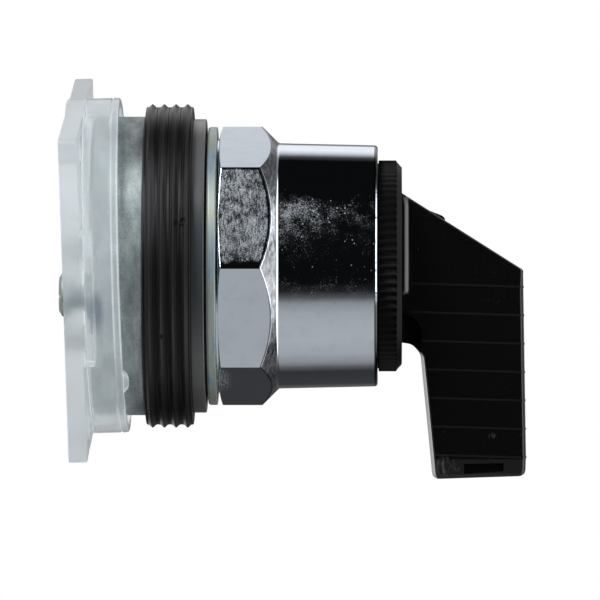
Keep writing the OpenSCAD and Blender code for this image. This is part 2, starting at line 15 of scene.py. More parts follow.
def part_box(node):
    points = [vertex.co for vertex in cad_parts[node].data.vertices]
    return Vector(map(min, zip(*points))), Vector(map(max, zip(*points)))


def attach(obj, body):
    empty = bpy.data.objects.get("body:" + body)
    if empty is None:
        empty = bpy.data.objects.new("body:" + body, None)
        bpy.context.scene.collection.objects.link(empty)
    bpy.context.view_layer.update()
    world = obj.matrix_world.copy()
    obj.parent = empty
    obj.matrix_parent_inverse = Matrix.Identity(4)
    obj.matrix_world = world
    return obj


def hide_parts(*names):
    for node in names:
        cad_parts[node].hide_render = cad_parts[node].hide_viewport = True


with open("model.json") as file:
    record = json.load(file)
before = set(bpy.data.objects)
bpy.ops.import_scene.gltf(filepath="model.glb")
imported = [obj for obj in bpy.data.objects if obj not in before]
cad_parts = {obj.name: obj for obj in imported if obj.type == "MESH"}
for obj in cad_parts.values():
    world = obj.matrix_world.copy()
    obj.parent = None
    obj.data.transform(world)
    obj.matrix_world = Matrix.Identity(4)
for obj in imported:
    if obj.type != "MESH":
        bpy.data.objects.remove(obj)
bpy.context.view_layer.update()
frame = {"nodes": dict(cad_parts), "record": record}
nodes = frame["nodes"]
MM = 0.001

# %% [markdown]
# Most sizes come from the frame. A node's lowest and highest corner, in millimetres, are enough to
# place a turned piece, because every turned piece here shares the switch axis, which is X.


# %% Read places from the frame
def span(node):
    """Lowest and highest corner of a CAD node, in millimetres."""
    low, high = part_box(node)
    return low / MM, high / MM


def stations(node):
    """Rear end, front end and greatest radius of a node that is turned about the axis."""
    low, high = span(node)
    return low.x, high.x, max(high.y, high.z)


BARREL_R = 15.0
print("ring nut from", stations("ring_nut"))

# %% [markdown]
# Node trees read better as sums than as lists of links. A small class wraps a socket and overloads the
# operators, so a mask is written as an expression. It serves shader trees and geometry trees alike.


# %% Arithmetic on sockets
class Val:
    """A socket that takes part in Python arithmetic, one Math node for each operator."""

    def __init__(self, web, socket):
        self.web = web
        self.socket = socket

    def math(self, operation, other=0.0, swap=False):
        first, second = (other, self) if swap else (self, other)
        return self.web.node("ShaderNodeMath", {"operation": operation}, {0: first, 1: second})

    def __add__(self, other):
        return self.math("ADD", other)

    def __sub__(self, other):
        return self.math("SUBTRACT", other)

    def __mul__(self, other):
        return self.math("MULTIPLY", other)

    def __truediv__(self, other):
        return self.math("DIVIDE", other)

    def __rsub__(self, other):
        return self.math("SUBTRACT", other, True)

    __radd__ = __add__
    __rmul__ = __mul__


# %% [markdown]
# All trees are built by one method. It makes a node of any kind, sets its options and fills its inputs.
# A socket that varies is linked, and a plain number is written on the node itself.


# %% Trees of nodes
class Web:
    """A node tree with one method that makes any node."""

    def __init__(self, tree):
        self.tree = tree

    def put(self, socket, value):
        """Links a socket to a value that varies, or writes a plain one on it."""
        if isinstance(value, Val):
            self.tree.links.new(value.socket, socket)
        else:
            socket.default_value = value

    def node(self, kind, settings=None, inputs=None, out=0):
        made = self.tree.nodes.new(kind)
        for key, value in (settings or {}).items():
            if key == "stops":
                self.set_stops(made.color_ramp, value)
            else:
                setattr(made, key, value)
        for key, value in (inputs or {}).items():
            self.put(made.inputs[key], value)
        return Val(self, made.outputs[out])

    def vector(self, x, y, z):
        return self.node("ShaderNodeCombineXYZ", None, {0: x, 1: y, 2: z})

    @staticmethod
    def set_stops(ramp, stops):
        while len(ramp.elements) < len(stops):
            ramp.elements.new(0.5)
        for element, (place, colour) in zip(ramp.elements, stops):
            element.position = place
            element.color = (*colour, 1)


# %% [markdown]
# A finish is one material. Numbers that hold all over the surface go straight on the shader's sockets,
# and what varies is linked. Patterns read Object coordinates in millimetres, so they stay put as the
# switch turns. A mark that sits in one place is a product of steps, bands and spots along the axes. An
# image could carry it too, but masks need no unwrapped mesh and stay sharp at any distance.


# %% The finish helper
class Finish(Web):
    """A material with a principled shader."""

    def __init__(self, name, **sockets):
        self.material = bpy.data.materials.new(name)
        self.material.use_nodes = True
        super().__init__(self.material.node_tree)
        self.shader = self.tree.nodes["Principled BSDF"]
        for key, value in sockets.items():
            self.feed(key.replace("_", " ").title().replace("Ior", "IOR"), value)
        coords = self.node("ShaderNodeTexCoord", out="Object")
        self.mm = self.node("ShaderNodeVectorMath", {"operation": "SCALE"}, {0: coords, "Scale": 1 / MM})

    def feed(self, socket, value):
        self.put(self.shader.inputs[socket], value)

    def axes(self):
        parts = self.node("ShaderNodeSeparateXYZ", None, {0: self.mm}).socket.node
        return [Val(self, out) for out in parts.outputs]

    def radius(self):
        """Distance from the switch's axis."""
        x, y, z = self.axes()
        return (y * y + z * z).math("SQRT")

    def lift(self):
        """Angle about the switch's axis in degrees, upwards from the camera's side."""
        x, y, z = self.axes()
        return self.node("ShaderNodeMath", {"operation": "ARCTAN2"}, {0: z, 1: y * -1}) * math.degrees(1)

    def ringwise(self, along, spread, out):
        """A pattern space that is wrapped about the axis, so that bands run round it with no seam."""
        x, y, z = self.axes()
        radius = self.radius()
        return self.vector(x * along + radius * out, y / radius * spread, z / radius * spread)

    def noise(self, scale, detail=2.0, rough=0.5, at=None):
        sockets = {"Vector": at or self.mm, "Scale": scale, "Detail": detail, "Roughness": rough}
        return self.node("ShaderNodeTexNoise", None, sockets)

    def ramp(self, value, stops):
        return self.node("ShaderNodeValToRGB", {"stops": stops}, {0: value})

    def step(self, value, low, high):
        """Zero below low, one above high, and smooth between."""
        sockets = {"Value": value, "From Min": low, "From Max": high}
        return self.node("ShaderNodeMapRange", {"interpolation_type": "SMOOTHSTEP"}, sockets)

    def band(self, value, limits):
        """One between the middle two of four limits, and fading to zero at the outer two."""
        low, full, still, high = limits
        return self.step(value, low, full) * (1 - self.step(value, still, high))

    def spot(self, at, half, edge):
        """One at an (x, z) place, fading out between two shares of an ellipse's half sizes."""
        x, y, z = self.axes()
        aside = (x - at[0]) / half[0]
        above = (z - at[1]) / half[1]
        return 1 - self.step((aside * aside + above * above).math("SQRT"), *edge)

    def mix(self, factor, first, second):
        """A colour between two others."""
        made = self.tree.nodes.new("ShaderNodeMix")
        made.data_type = "RGBA"
        self.put(made.inputs[0], factor)
        colours = [socket for socket in made.inputs if socket.type == "RGBA"]
        for socket, colour in zip(colours, (first, second)):
            self.put(socket, colour if isinstance(colour, Val) else (*colour, 1))
        return Val(self, next(socket for socket in made.outputs if socket.type == "RGBA"))

    def bump(self, height, strength, distance=0.05):
        sockets = {"Height": height, "Strength": strength, "Distance": distance * MM}
        self.feed("Normal", self.node("ShaderNodeBump", None, sockets))


finishes = {}


def keep(slot, finish):
    """Keeps a finish under the name of its slot."""
    finishes[slot] = finish.material
    print("finish", slot, "has", len(finish.tree.nodes), "nodes")


# %% [markdown]
# Chrome plating is a mirror, so its look is the studio around it. What marks a real plated casting is
# what breaks the mirror. The flat and the part of the bezel that face the camera are frosted by fine
# pits, which catch the lamps where the mirror itself is dark. Large patches decide where the frost lies
# and a fine grain decides how dense it is. On the flat the grain is drawn out into brush lines. Lifts
# are degrees about the axis, counted up from the camera's side. Other limits are millimetres along the
# axis or levels of a noise. All over the cone that ends the flats, the place along the axis and the
# radius add up to one sum.

# %% Frost on the chrome
CONE_SUM = 34.9
FROST_FLAT_LIFT = (-1.2, 2.4, 42.4, 44.2)
FROST_FLAT_FROM = (9.9, 10.4)
FROST_FLAT_TO = (CONE_SUM - 0.55, CONE_SUM - 0.22)
FROST_BEZEL_LIFT = (-18.0, 16.0, 26.0, 46.0)
FROST_BEZEL_FROM = (17.9, 18.3)
FROST_BEZEL_THINS = (19.0, 28.0)
FRINGE_LIFT = (-22.0, -14.0, -10.0, 0.0)
FROST_LIMITS = (0.6, 1.15)
FROST_EDGE = (0.02, 0.2)
PIT_LIMITS = (0.49, 0.92)


def frosted(f, bezel, patches, brushed):
    """How densely the plating is pitted."""
    x, y, z = f.axes()
    lift = f.lift()
    on_flat = f.band(lift, FROST_FLAT_LIFT) * f.step(x, *FROST_FLAT_FROM)
    on_flat = on_flat * (1 - f.step(x + f.radius(), *FROST_FLAT_TO))
    on_bezel = f.band(lift, FROST_BEZEL_LIFT) * bezel * (1 - f.step(x, *FROST_BEZEL_THINS) * 0.33)
    fringe = f.band(lift, FRINGE_LIFT) * bezel
    frost = f.step(patches * 0.9 + on_flat * 0.57 + on_bezel * 0.5 + fringe * 0.32, *FROST_LIMITS)
    grain = f.noise(5.5, 2.0, 0.7)
    etched = grain + (brushed - grain) * (0.52 - bezel * 0.34)
    return f.step(etched + frost * 0.27, *PIT_LIMITS) * f.step(frost, *FROST_EDGE)


# %% [markdown]
# A cone cuts the octagon down to the bezel. It was turned, so it is streaked across. A highlight is painted
# in the middle of the near scallop, and painted shade darkens it to both sides of it.

# %% The nut's cone
CONE_SKIN = (CONE_SUM - 0.25, CONE_SUM - 0.1)
CONE_OUT = (16.9, 17.1)
CONE_STREAKS = (0.35, 0.65)
CONE_DARK = (0.2, 0.21, 0.23)
CONE_PALE = (0.62, 0.67, 0.72)
CONE_PAINTED_HIGHLIGHT = (0.85, 0.89, 0.93)
CONE_PAINTED_SHADE = (0.1, 0.105, 0.115)
PAINTED_GLEAM_AT = -4.0
PAINTED_GLEAM_EDGE = (4.0, 13.0)
PAINTED_SHADE_OF = 4.0
PAINTED_SHADE_EDGE = (12.0, 38.0)


def cone_look(f):
    """Where the cone is, its streaks, and its tone with a painted highlight and painted shade."""
    x, y, z = f.axes()
    lift = f.lift()
    on_cone = f.step(x + f.radius(), *CONE_SKIN) * f.step(f.radius(), *CONE_OUT)
    streaks = f.noise(1.0, 3.0, 0.6, f.vector(x * 3.0, y * 0.8, z * 0.8)) * on_cone
    tone = f.mix(f.step(streaks, *CONE_STREAKS), CONE_DARK, CONE_PALE)
    # Painted highlight in the middle of the near scallop and painted shade to both sides, set by the angle
    # about the axis.
    painted_gleam = 1 - f.step((lift - PAINTED_GLEAM_AT).math("ABSOLUTE"), *PAINTED_GLEAM_EDGE)
    tone = f.mix(painted_gleam * 0.7, tone, CONE_PAINTED_HIGHLIGHT)
    aside = f.step((lift - PAINTED_SHADE_OF).math("ABSOLUTE"), *PAINTED_SHADE_EDGE)
    return on_cone, streaks, f.mix(aside * 0.7, tone, CONE_PAINTED_SHADE)


# %% [markdown]
# Smaller marks are scattered: pale specks on the near side and a scuffed rear edge on a lower flat. The
# bezel's front edge is darkened by painted shade, broken where its line of light shows. Single dots could
# be placed by hand. A Voronoi pattern scatters them instead, and its cell colours give each speck a chance
# to show and a strength.

# %% Specks, worn edges and the painted edge shade
SPECK_SCALE = 1.3
SPECK_EDGE = (0.05, 0.14)
SPECK_CHANCE = (0.3, 0.35)
SPECK_PATCHES = (0.3, 0.6)
SPECK_LIFT = (-18.0, -6.0, 30.0, 42.0)
WORN_TO = (10.6, 12.0)
WORN_LIFT = (-76.0, -64.0, -52.0, -47.0)
WORN_GRAIN = (0.4, 0.62)
EDGE_FROM = (-0.5, -0.42)
GLINT_LIFT = (-20.0, -10.0, 32.0, 42.0)
GLINT_GRAIN = (0.3, 0.5)


def speckled(f, patches, brushed):
    """Pale specks of many sizes, and the scuffed edge."""
    x, y, z = f.axes()
    lift = f.lift()
    dots = f.node("ShaderNodeTexVoronoi", None, {"Vector": f.mm, "Scale": SPECK_SCALE})
    cell = Val(f, dots.socket.node.outputs["Color"])
    chance = f.node("ShaderNodeSeparateColor", None, {0: cell})
    strength = Val(f, chance.socket.node.outputs["Green"]) * 0.75 + 0.25
    specks = (1 - f.step(dots, *SPECK_EDGE)) * f.step(chance, *SPECK_CHANCE) * strength
    specks = specks * f.band(lift, SPECK_LIFT) * f.step(patches, *SPECK_PATCHES)
    worn = (1 - f.step(x, *WORN_TO)) * f.band(lift, WORN_LIFT)
    return specks + worn * f.step(brushed, *WORN_GRAIN) * 0.5


def painted_edge_shade(f):
    """Painted shade on the bezel's front edge, apart from the stretches where its light shows."""
    x, y, z = f.axes()
    on_edge = f.step(x - stations("ring_nut")[1], *EDGE_FROM)
    lit = f.band(f.lift(), GLINT_LIFT) * f.step(f.noise(1.6, 3.0, 0.7), *GLINT_GRAIN)
    return on_edge * (1 - lit)


# %% [markdown]
# The marks come together in one material. The pits and the cone stay metal and only turn rougher and
# darker. The specks are not metal: they show their own pale colour wherever the light comes from.

# %% Chrome plating
CHROME = (0.72, 0.79, 0.87)
CHROME_STAIN = (0.52, 0.57, 0.65)
CHROME_FROST = (0.42, 0.45, 0.49)
EDGE_PAINTED_SHADE = (0.06, 0.062, 0.068)
SPECK_TONE = (0.8, 0.8, 0.8)
STAINED = (0.45, 0.75)


def chrome_finish():
    f = Finish("chrome plating")
    x, y, z = f.axes()
    bezel = f.step(x, *FROST_BEZEL_FROM)
    patches = f.noise(0.5, 5.0, 0.65)
    brushed = f.noise(1.0, 4.0, 0.7, f.vector(x * 5.0, y * 1.1, z * 1.1))
    pits = frosted(f, bezel, patches, brushed)
    on_cone, streaks, cone_tone = cone_look(f)
    specks = speckled(f, patches, brushed)
    stain = f.step(f.noise(0.5, 4.0, 0.6), *STAINED)
    tone = f.mix(stain * 0.25, CHROME, CHROME_STAIN)
    tone = f.mix(pits, tone, CHROME_FROST)
    # The cone's tone carries its painted highlight and painted shade.
    tone = f.mix(on_cone, tone, cone_tone)
    # Painted shade on the bezel's front edge.
    tone = f.mix(painted_edge_shade(f), tone, EDGE_PAINTED_SHADE)
    f.feed("Base Color", f.mix(specks, tone, SPECK_TONE))
    f.feed("Metallic", 1 - specks * 0.8)
    f.feed("Roughness", 0.035 + pits * (0.32 + bezel * 0.01) + specks * 0.3 + streaks * 0.4)
    f.bump(f.noise(0.4, 2.0, 0.5) + pits * 0.2 + streaks * 2, 0.06, 0.1)
    return f


keep("chrome", chrome_finish())

# %% [markdown]
# The flange is a zinc die casting. Its skin is a cold grey, clouded where the metal chilled against the
# die, with a fine sparkle of grains, and a painted shade darkens it towards the top. The clouds are wrapped
# about the axis, so they have no seam. A low metallic share keeps the casting from looking like polished
# steel.

# %% Zinc casting
CAST_TONES = [(0.3, (0.13, 0.155, 0.16)), (0.52, (0.31, 0.36, 0.37)), (0.72, (0.56, 0.61, 0.61))]
CAST_PAINTED_SHADE_TOP = (11.0, 16.0)


def casting_finish():
    f = Finish("zinc casting", metallic=0.5)
    x, y, z = f.axes()
    clouds = f.noise(1.0, 4.0, 0.6, f.ringwise(along=0.5, spread=4.0, out=0.7))
    grain = f.noise(4.5, 3.0, 0.7)
    # The step in height darkens the top as painted shade.
    f.feed("Base Color", f.ramp(clouds * 0.65 + grain * 0.4 - f.step(z, *CAST_PAINTED_SHADE_TOP) * 0.1, CAST_TONES))
    f.feed("Roughness", 0.4 + grain * 0.2)
    f.bump(grain + clouds, 0.25, 0.05)
    return f


keep("zinc_casting", casting_finish())

# %% [markdown]
# Plated washers and screws carry a passivated film that shows faint bands of straw, green and blue. A
# ramp of those colours over one noise gives the film. It runs around the ring, so its noise is wrapped
# about the axis.

# %% Zinc plate
FILM_TONES = [(0.3, (0.16, 0.26, 0.36)), (0.43, (0.36, 0.47, 0.53)), (0.52, (0.43, 0.45, 0.36)),
              (0.6, (0.31, 0.42, 0.44)), (0.74, (0.17, 0.23, 0.27))]


def plate_finish(name, spread):
    f = Finish(name, metallic=0.5)
    film = f.noise(1.0, 3.0, 0.6, f.ringwise(along=0.5, spread=spread, out=0.4))
    fine = f.noise(6.0, 3.0, 0.7)
    f.feed("Base Color", f.ramp(film * 0.7 + fine * 0.3, FILM_TONES))
    f.feed("Roughness", 0.34 + fine * 0.2)
    f.bump(fine, 0.2, 0.04)
    return f


keep("zinc_plate", plate_finish("zinc plate", spread=2.2))
keep("screw_zinc", plate_finish("screw plate", spread=0.6))

# %% [markdown]
# The gaskets are moulded rubber: near black, with a soft sheen, fine mould lines around the ring and a
# little dust. Above the middle, where the light falls, a grey sheen is painted on them, broken into streaks
# that run with the mould lines. The spacer ring beside them is a harder grey plastic with the same fine
# lines, and a paler sheen is painted where it turns away.

# %% Rubber and the grey ring
RUBBER_BLACK = (0.0042, 0.0042, 0.0046)
RUBBER_PAINTED_SHEEN = (0.045, 0.045, 0.048)
PAINTED_SHEEN_HEIGHT = (-1.0, 7.0, 12.0, 18.0)
PAINTED_SHEEN_STREAKS = (0.4, 0.62)
DUST_LIMITS = (0.62, 0.74)
GREY_DARK = (0.033, 0.038, 0.042)
GREY_PALE = (0.056, 0.064, 0.068)
GREY_PAINTED_SHEEN = (0.108, 0.109, 0.112)
PAINTED_SHEEN_FROM = (7.0, 14.0)


def rubber_finish():
    f = Finish("gasket rubber", specular_ior_level=0.17)
    x, y, z = f.axes()
    lines = f.noise(1.0, 3.0, 0.6, f.ringwise(along=9.0, spread=1.5, out=7.0))
    wide = f.noise(1.0, 2.0, 0.6, f.ringwise(along=2.6, spread=1.0, out=4.0))
    dust = f.step(f.noise(3.2, 3.0, 0.7), *DUST_LIMITS)
    # Painted sheen above the middle, where the light falls, broken into streaks.
    painted_sheen = f.band(z, PAINTED_SHEEN_HEIGHT) * f.step(wide * 0.7 + lines * 0.3, *PAINTED_SHEEN_STREAKS)
    f.feed("Base Color", f.mix(dust * 0.2 + lines * 0.1 + painted_sheen * 0.8, RUBBER_BLACK, RUBBER_PAINTED_SHEEN))
    f.feed("Roughness", 0.22 + lines * 0.16)
    f.bump(lines + dust * 0.3, 0.2, 0.04)
    return f


def grey_finish():
    f = Finish("grey plastic", specular_ior_level=0.6)
    x, y, z = f.axes()
    lines = f.noise(1.0, 2.0, 0.5, f.ringwise(along=9.0, spread=0.8, out=6.0))
    # Painted sheen: paler towards top and bottom, where the ring turns away.
    away = f.step(z.math("ABSOLUTE"), *PAINTED_SHEEN_FROM)
    f.feed("Base Color", f.mix(away, f.mix(lines, GREY_DARK, GREY_PALE), GREY_PAINTED_SHEEN))
    f.feed("Roughness", 0.26 + lines * 0.14)
    f.bump(lines, 0.12, 0.03)
    return f


keep("rubber", rubber_finish())
keep("grey_plastic", grey_finish())

# %% [markdown]
# The adaptor is a milky moulding: light passes through it, and what lies behind shows only as soft patches.
# A rough transmission does that. True scattering inside the wall would look alike and take far longer. The
# plate is duller than the cup. Two bright lines around the cup's rim are painted highlights that glow, the
# top of the cup is darkened by painted shade, and the near screw is painted on as two soft shades. A faint
# painted glow stands for the light that such a wall gathers from all around. The adaptor sits turned and
# rocked, so places on it are measured along its own axis.

# %% Milky nylon
ADAPTOR_X = -7.8
CUP_DEPTH = 4.8
PLATE_TURN = math.radians(10)
ADAPTOR_ROCK = math.radians(1.5)
adaptor_spin = Matrix.Rotation(PLATE_TURN, 3, "X")
RIM_AXIS = adaptor_spin @ Matrix.Rotation(-ADAPTOR_ROCK, 3, "Y") @ Vector((1, 0, 0))
RIM_AT = ADAPTOR_X + CUP_DEPTH
RIM_PAINTED_EDGE = (-0.3, -0.12)
RIM_PAINTED_LINE = (-1.1, -0.95, -0.85, -0.7)
RIM_OUT = (22.3, 22.5)
RIM_HEIGHT = (-16.0, -9.0, 14.0, 19.0)
PLATE_UNDER = (-4.75, -4.5)
CLOUD_TONES = ((0.73, 0.77, 0.79), (0.79, 0.83, 0.85))
PATCH_LIMITS = (0.46, 0.68)
PATCH_TONE = (0.86, 0.86, 0.84)
PLATE_TONE = (0.68, 0.715, 0.735)
CUP_SHADE_FROM = (19.6, 22.2)
CUP_TOP_PAINTED_SHADE = (0.5, 0.54, 0.57)
PAINTED_SCREW_SHADES = [((-8.6, -5.2), (2.6, 1.1), 0.5), ((-6.1, -6.2), (1.0, 2.6), 0.9)]
PAINTED_SCREW_TONE = (0.33, 0.4, 0.46)
SHADE_EDGE = (0.3, 1.3)
SHADE_SIDE = (-12.0, -10.0)
PAINTED_GLOW_HEIGHT = (-4.0, 5.0, 9.0, 18.0)
PAINTED_GLOW_TONES = ((0.06, 0.063, 0.066), (0.25, 0.26, 0.27))


def milky_finish():
    f = Finish("milky nylon", transmission_weight=0.84, ior=1.24, specular_ior_level=0.5,
               emission_strength=1.0)
    x, y, z = f.axes()
    along = f.node("ShaderNodeVectorMath", {"operation": "DOT_PRODUCT"}, {0: f.mm, 1: RIM_AXIS}, "Value")
    along = along - RIM_AT
    # Painted highlights: two bright lines around the cup's rim, which glow.
    rim = f.step(along, *RIM_PAINTED_EDGE) + f.band(along, RIM_PAINTED_LINE) * 0.8
    rim = rim * f.step(f.radius(), *RIM_OUT) * (0.25 + f.band(z, RIM_HEIGHT))
    plate = 1 - f.step(along, *PLATE_UNDER)
    clouds = f.noise(0.12, 3.0, 0.5)
    patchy = f.noise(0.3, 2.0, 0.5)
    tone = f.mix(clouds, *CLOUD_TONES)
    tone = f.mix(f.step(patchy, *PATCH_LIMITS) * 0.7, tone, PATCH_TONE)
    tone = f.mix(plate, tone, PLATE_TONE)
    # Painted shade on the top of the cup.
    tone = f.mix(f.step(z, *CUP_SHADE_FROM) * (1 - plate * 0.6), tone, CUP_TOP_PAINTED_SHADE)
    # The near screw is painted on as two soft shades, as if seen through the wall.
    near = 1 - f.step(y, *SHADE_SIDE)
    for at, half, depth in PAINTED_SCREW_SHADES:
        tone = f.mix(f.spot(at, half, SHADE_EDGE) * near * depth, tone, PAINTED_SCREW_TONE)
    f.feed("Base Color", tone)
    f.feed("Roughness", 0.08 + clouds * 0.2 + plate * 0.18)
    # Painted glow: the rim's highlights, and a band in the middle heights that is stronger on the plate.
    lit = rim * (0.5 + patchy) + f.band(z, PAINTED_GLOW_HEIGHT) * (0.05 + plate * 0.2)
    f.feed("Emission Color", f.mix(lit, *PAINTED_GLOW_TONES))
    f.bump(f.noise(0.8, 2.0, 0.5), 0.05, 0.1)
    return f


keep("milky_nylon", milky_finish())

# %% [markdown]
# The lever is a glossy black moulding. Use has left rubbed patches and a few scuffs near its tip, and a
# paler painted highlight lies on the narrow strip at its foot. The ribs share the finish in a lighter
# black, which is a painted highlight for the light that their edges catch. The collar is the same black,
# but bead-blasted, so it is duller.

# %% Black plastics
FOOT_HIGHLIGHT_BAND = (0.46, 0.54, 0.8, 0.92)
FOOT_HIGHLIGHT_FROM = (-4.0, -3.4)
FOOT_PAINTED_HIGHLIGHT = (0.15, 0.153, 0.17)
RUB_LIMITS = (0.66, 0.76)
RUB_TONE = (0.012, 0.012, 0.014)
SCUFFS = [((40.7, -27.3), 1.7), ((42.4, -27.7), 0.5), ((47.2, -23.2), 0.6)]
SCUFF_GRAIN = (0.42, 0.68)
SCUFF_EDGE = (0.3, 1.0)
SCUFF_SIDE = (-2.0, -1.0)
SCUFF_TONE = (0.075, 0.077, 0.082)
COLLAR_TONES = ((0.0012, 0.0012, 0.0012), (0.003, 0.003, 0.003))


def lever_finish(name, tone):
    f = Finish(name, specular_ior_level=0.5)
    x, y, z = f.axes()
    root = span("knurled_collar")[1].x
    # Painted highlight on the narrow strip at the lever's foot.
    foot = f.band(x - root, FOOT_HIGHLIGHT_BAND) * f.step(z, *FOOT_HIGHLIGHT_FROM)
    rub = f.step(f.noise(0.55, 4.0, 0.7), *RUB_LIMITS)
    fine = f.noise(7.0, 2.0, 0.6)
    black = f.mix(rub * fine, (tone, tone, tone), RUB_TONE)
    scuffed = f.step(f.noise(1.5, 3.0, 0.6, f.vector(x * 1.6, y, z * 0.5)), *SCUFF_GRAIN)
    scuffed = scuffed * (1 - f.step(y, *SCUFF_SIDE))
    for at, size in SCUFFS:
        black = f.mix(scuffed * f.spot(at, (size, size), SCUFF_EDGE), black, SCUFF_TONE)
    f.feed("Base Color", f.mix(foot, black, FOOT_PAINTED_HIGHLIGHT))
    f.feed("Roughness", 0.2 + fine * 0.1 + rub * 0.12)
    f.bump(fine, 0.04, 0.02)
    return f


def collar_finish():
    f = Finish("black collar plastic", specular_ior_level=0.22)
    fine = f.noise(5.0, 3.0, 0.6)
    f.feed("Base Color", f.mix(fine, *COLLAR_TONES))
    f.feed("Roughness", 0.37 + fine * 0.2)
    f.bump(fine, 0.12, 0.03)
    return f


keep("black_gloss", lever_finish("black gloss plastic", tone=0.0018))
# The ribs' lighter black is a painted highlight for the light their edges catch.
keep("rib_painted_highlight", lever_finish("rib plastic with painted highlight", tone=0.009))
keep("black_collar", collar_finish())

# %% [markdown]
# The inner pieces hardly show, but they still get a finish each. One function takes two tones, the size
# of the grain between them, the metallic share and the roughness.


# %% Plain two-tone finishes
def toned_finish(name, dark, light, grain, metallic, rough):
    f = Finish(name, metallic=metallic)
    tone = f.noise(grain, 3.0, 0.6)
    f.feed("Base Color", f.mix(tone, dark, light))
    f.feed("Roughness", rough + tone * 0.15)
    f.bump(tone, 0.1, 0.03)
    return f


PLAIN_FINISHES = {
    "black_fibre": ("black fibre", (0.018, 0.02, 0.022), (0.034, 0.037, 0.04), 3.0, 0.0, 0.5),
    "bronze": ("bronze", (0.42, 0.27, 0.12), (0.62, 0.43, 0.2), 2.0, 1.0, 0.3),
    "spring_steel": ("spring steel", (0.3, 0.31, 0.34), (0.5, 0.51, 0.54), 4.0, 1.0, 0.25),
    "steel": ("steel", (0.42, 0.43, 0.44), (0.6, 0.61, 0.62), 3.0, 1.0, 0.28),
    "white_nylon": ("white nylon", (0.7, 0.7, 0.66), (0.82, 0.82, 0.79), 1.0, 0.0, 0.42),
    "white_inlay": ("white inlay", (0.78, 0.78, 0.76), (0.86, 0.86, 0.84), 2.0, 0.0, 0.35),
}
for slot, looks in PLAIN_FINISHES.items():
    keep(slot, toned_finish(*looks))
print("finishes:", len(finishes))

# %% [markdown]
# Each finished mesh becomes an object at the origin that rides on a body of the frame and stands for
# one or more of its nodes. A modifier is turned into plain mesh first, so nothing live is left on a
# piece.


# %% Pieces on the frame
def linked(name, data):
    """A new object in the scene."""
    obj = bpy.data.objects.new(name, data)
    bpy.context.scene.collection.objects.link(obj)
    return obj


def place(name, mesh, slot, body, *stood_for, finish=None):
    """Links a mesh as a piece of the object."""
    obj = linked(name, mesh)
    mesh.materials.clear()
    mesh.materials.append(finishes[finish or slot])
    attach(obj, body)
    if stood_for:
        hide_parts(*stood_for)
    print(name, "has", len(mesh.polygons), "faces")


def baked(obj):
    """The plain mesh of an object whose modifiers are done. The object itself is removed."""
    graph = bpy.context.evaluated_depsgraph_get()
    made = bpy.data.meshes.new_from_object(obj.evaluated_get(graph), depsgraph=graph)
    bpy.data.objects.remove(obj)
    return made


def cut(mesh, tool, operation):
    """Joins or subtracts two closed meshes."""
    blade = linked("tool", tool)
    bench = linked("bench", mesh)
    modifier = bench.modifiers.new("cut", "BOOLEAN")
    modifier.object = blade
    modifier.operation = operation
    modifier.solver = "EXACT"
    made = baked(bench)
    bpy.data.objects.remove(blade)
    return made


# %% [markdown]
# A turned piece is an outline spun about the axis. Real edges are never knife sharp, and it is the tiny
# rounding that catches the light, so every corner of an outline can carry a fillet radius. Two extra
# points beside each fillet hold the flats flat under smooth shading.

# %% Rounded outlines
FILLET_STEPS = 6
FILLET_REACH = 0.45
HOLD = 0.05
HOLD_SHARE = 0.3
TINY = 1e-6


def filleted(corners):
    """A closed outline from (x, radius, fillet) corners, with arcs of FILLET_STEPS pieces."""
    outline = []
    count = len(corners)
    for i, (x, r, fillet) in enumerate(corners):
        here = Vector((x, r))
        if not fillet:
            outline.append(here)
            continue
        back = Vector(corners[i - 1][:2]) - here
        ahead = Vector(corners[(i + 1) % count][:2]) - here
        half = back.angle(ahead, math.pi) / 2
        run = fillet / max(math.tan(half), TINY)
        run = min(run, back.length * FILLET_REACH, ahead.length * FILLET_REACH)
        start = here + back.normalized() * run
        end = here + ahead.normalized() * run
        hold = min(HOLD, HOLD_SHARE * (min(back.length, ahead.length) - run))
        outline.append(start + back.normalized() * hold)
        for k in range(FILLET_STEPS + 1):
            t = k / FILLET_STEPS
            outline.append(start * (1 - t) ** 2 + here * 2 * t * (1 - t) + end * t ** 2)
        outline.append(end + ahead.normalized() * hold)
    return outline


# %% [markdown]
# Meshes come from lists of points and faces, or from bmesh, Blender's workbench for small edits. Either
# way the faces of a closed mesh have to look outwards, or light and Booleans go wrong. Smooth shading
# with an angle for sharp edges keeps round parts round and edges crisp.


# %% Plain meshes
def mesh_of(name, verts, faces):
    mesh = bpy.data.meshes.new(name)
    mesh.from_pydata(verts, [], faces)
    return mesh


def ended(bm, name):
    """A plain mesh from a bmesh, which is freed."""
    mesh = bpy.data.meshes.new(name)
    bm.to_mesh(mesh)
    bm.free()
    return mesh


def outward(mesh):
    """Turns all faces of a closed mesh outwards."""
    bm = bmesh.new()
    bm.from_mesh(mesh)
    bmesh.ops.recalc_face_normals(bm, faces=bm.faces)
    bm.to_mesh(mesh)
    bm.free()
    return mesh


def smooth(mesh, angle=None):
    """Shades a mesh smooth, with edges sharper than an angle in degrees kept crisp."""
    mesh.shade_smooth()
    if angle is not None:
        mesh.set_sharp_from_angle(angle=math.radians(angle))
    return mesh


# %% [markdown]
# Spinning is skinning: the outline is copied at every angle, and neighbouring copies are joined by
# quads. The Screw modifier would do for plain rings. Done in code, the outline may change with the
# angle, which the octagon of the nut needs.

# %% Turned meshes
TURNED_COLUMNS = 256


def quads(strips, rows, count):
    """Faces between rows of points that close on themselves. As many strips as rows close the rows too."""
    faces = []
    for i in range(strips):
        j = (i + 1) % rows
        for k in range(count):
            n = (k + 1) % count
            faces.append((i * count + k, i * count + n, j * count + n, j * count + k))
    return faces


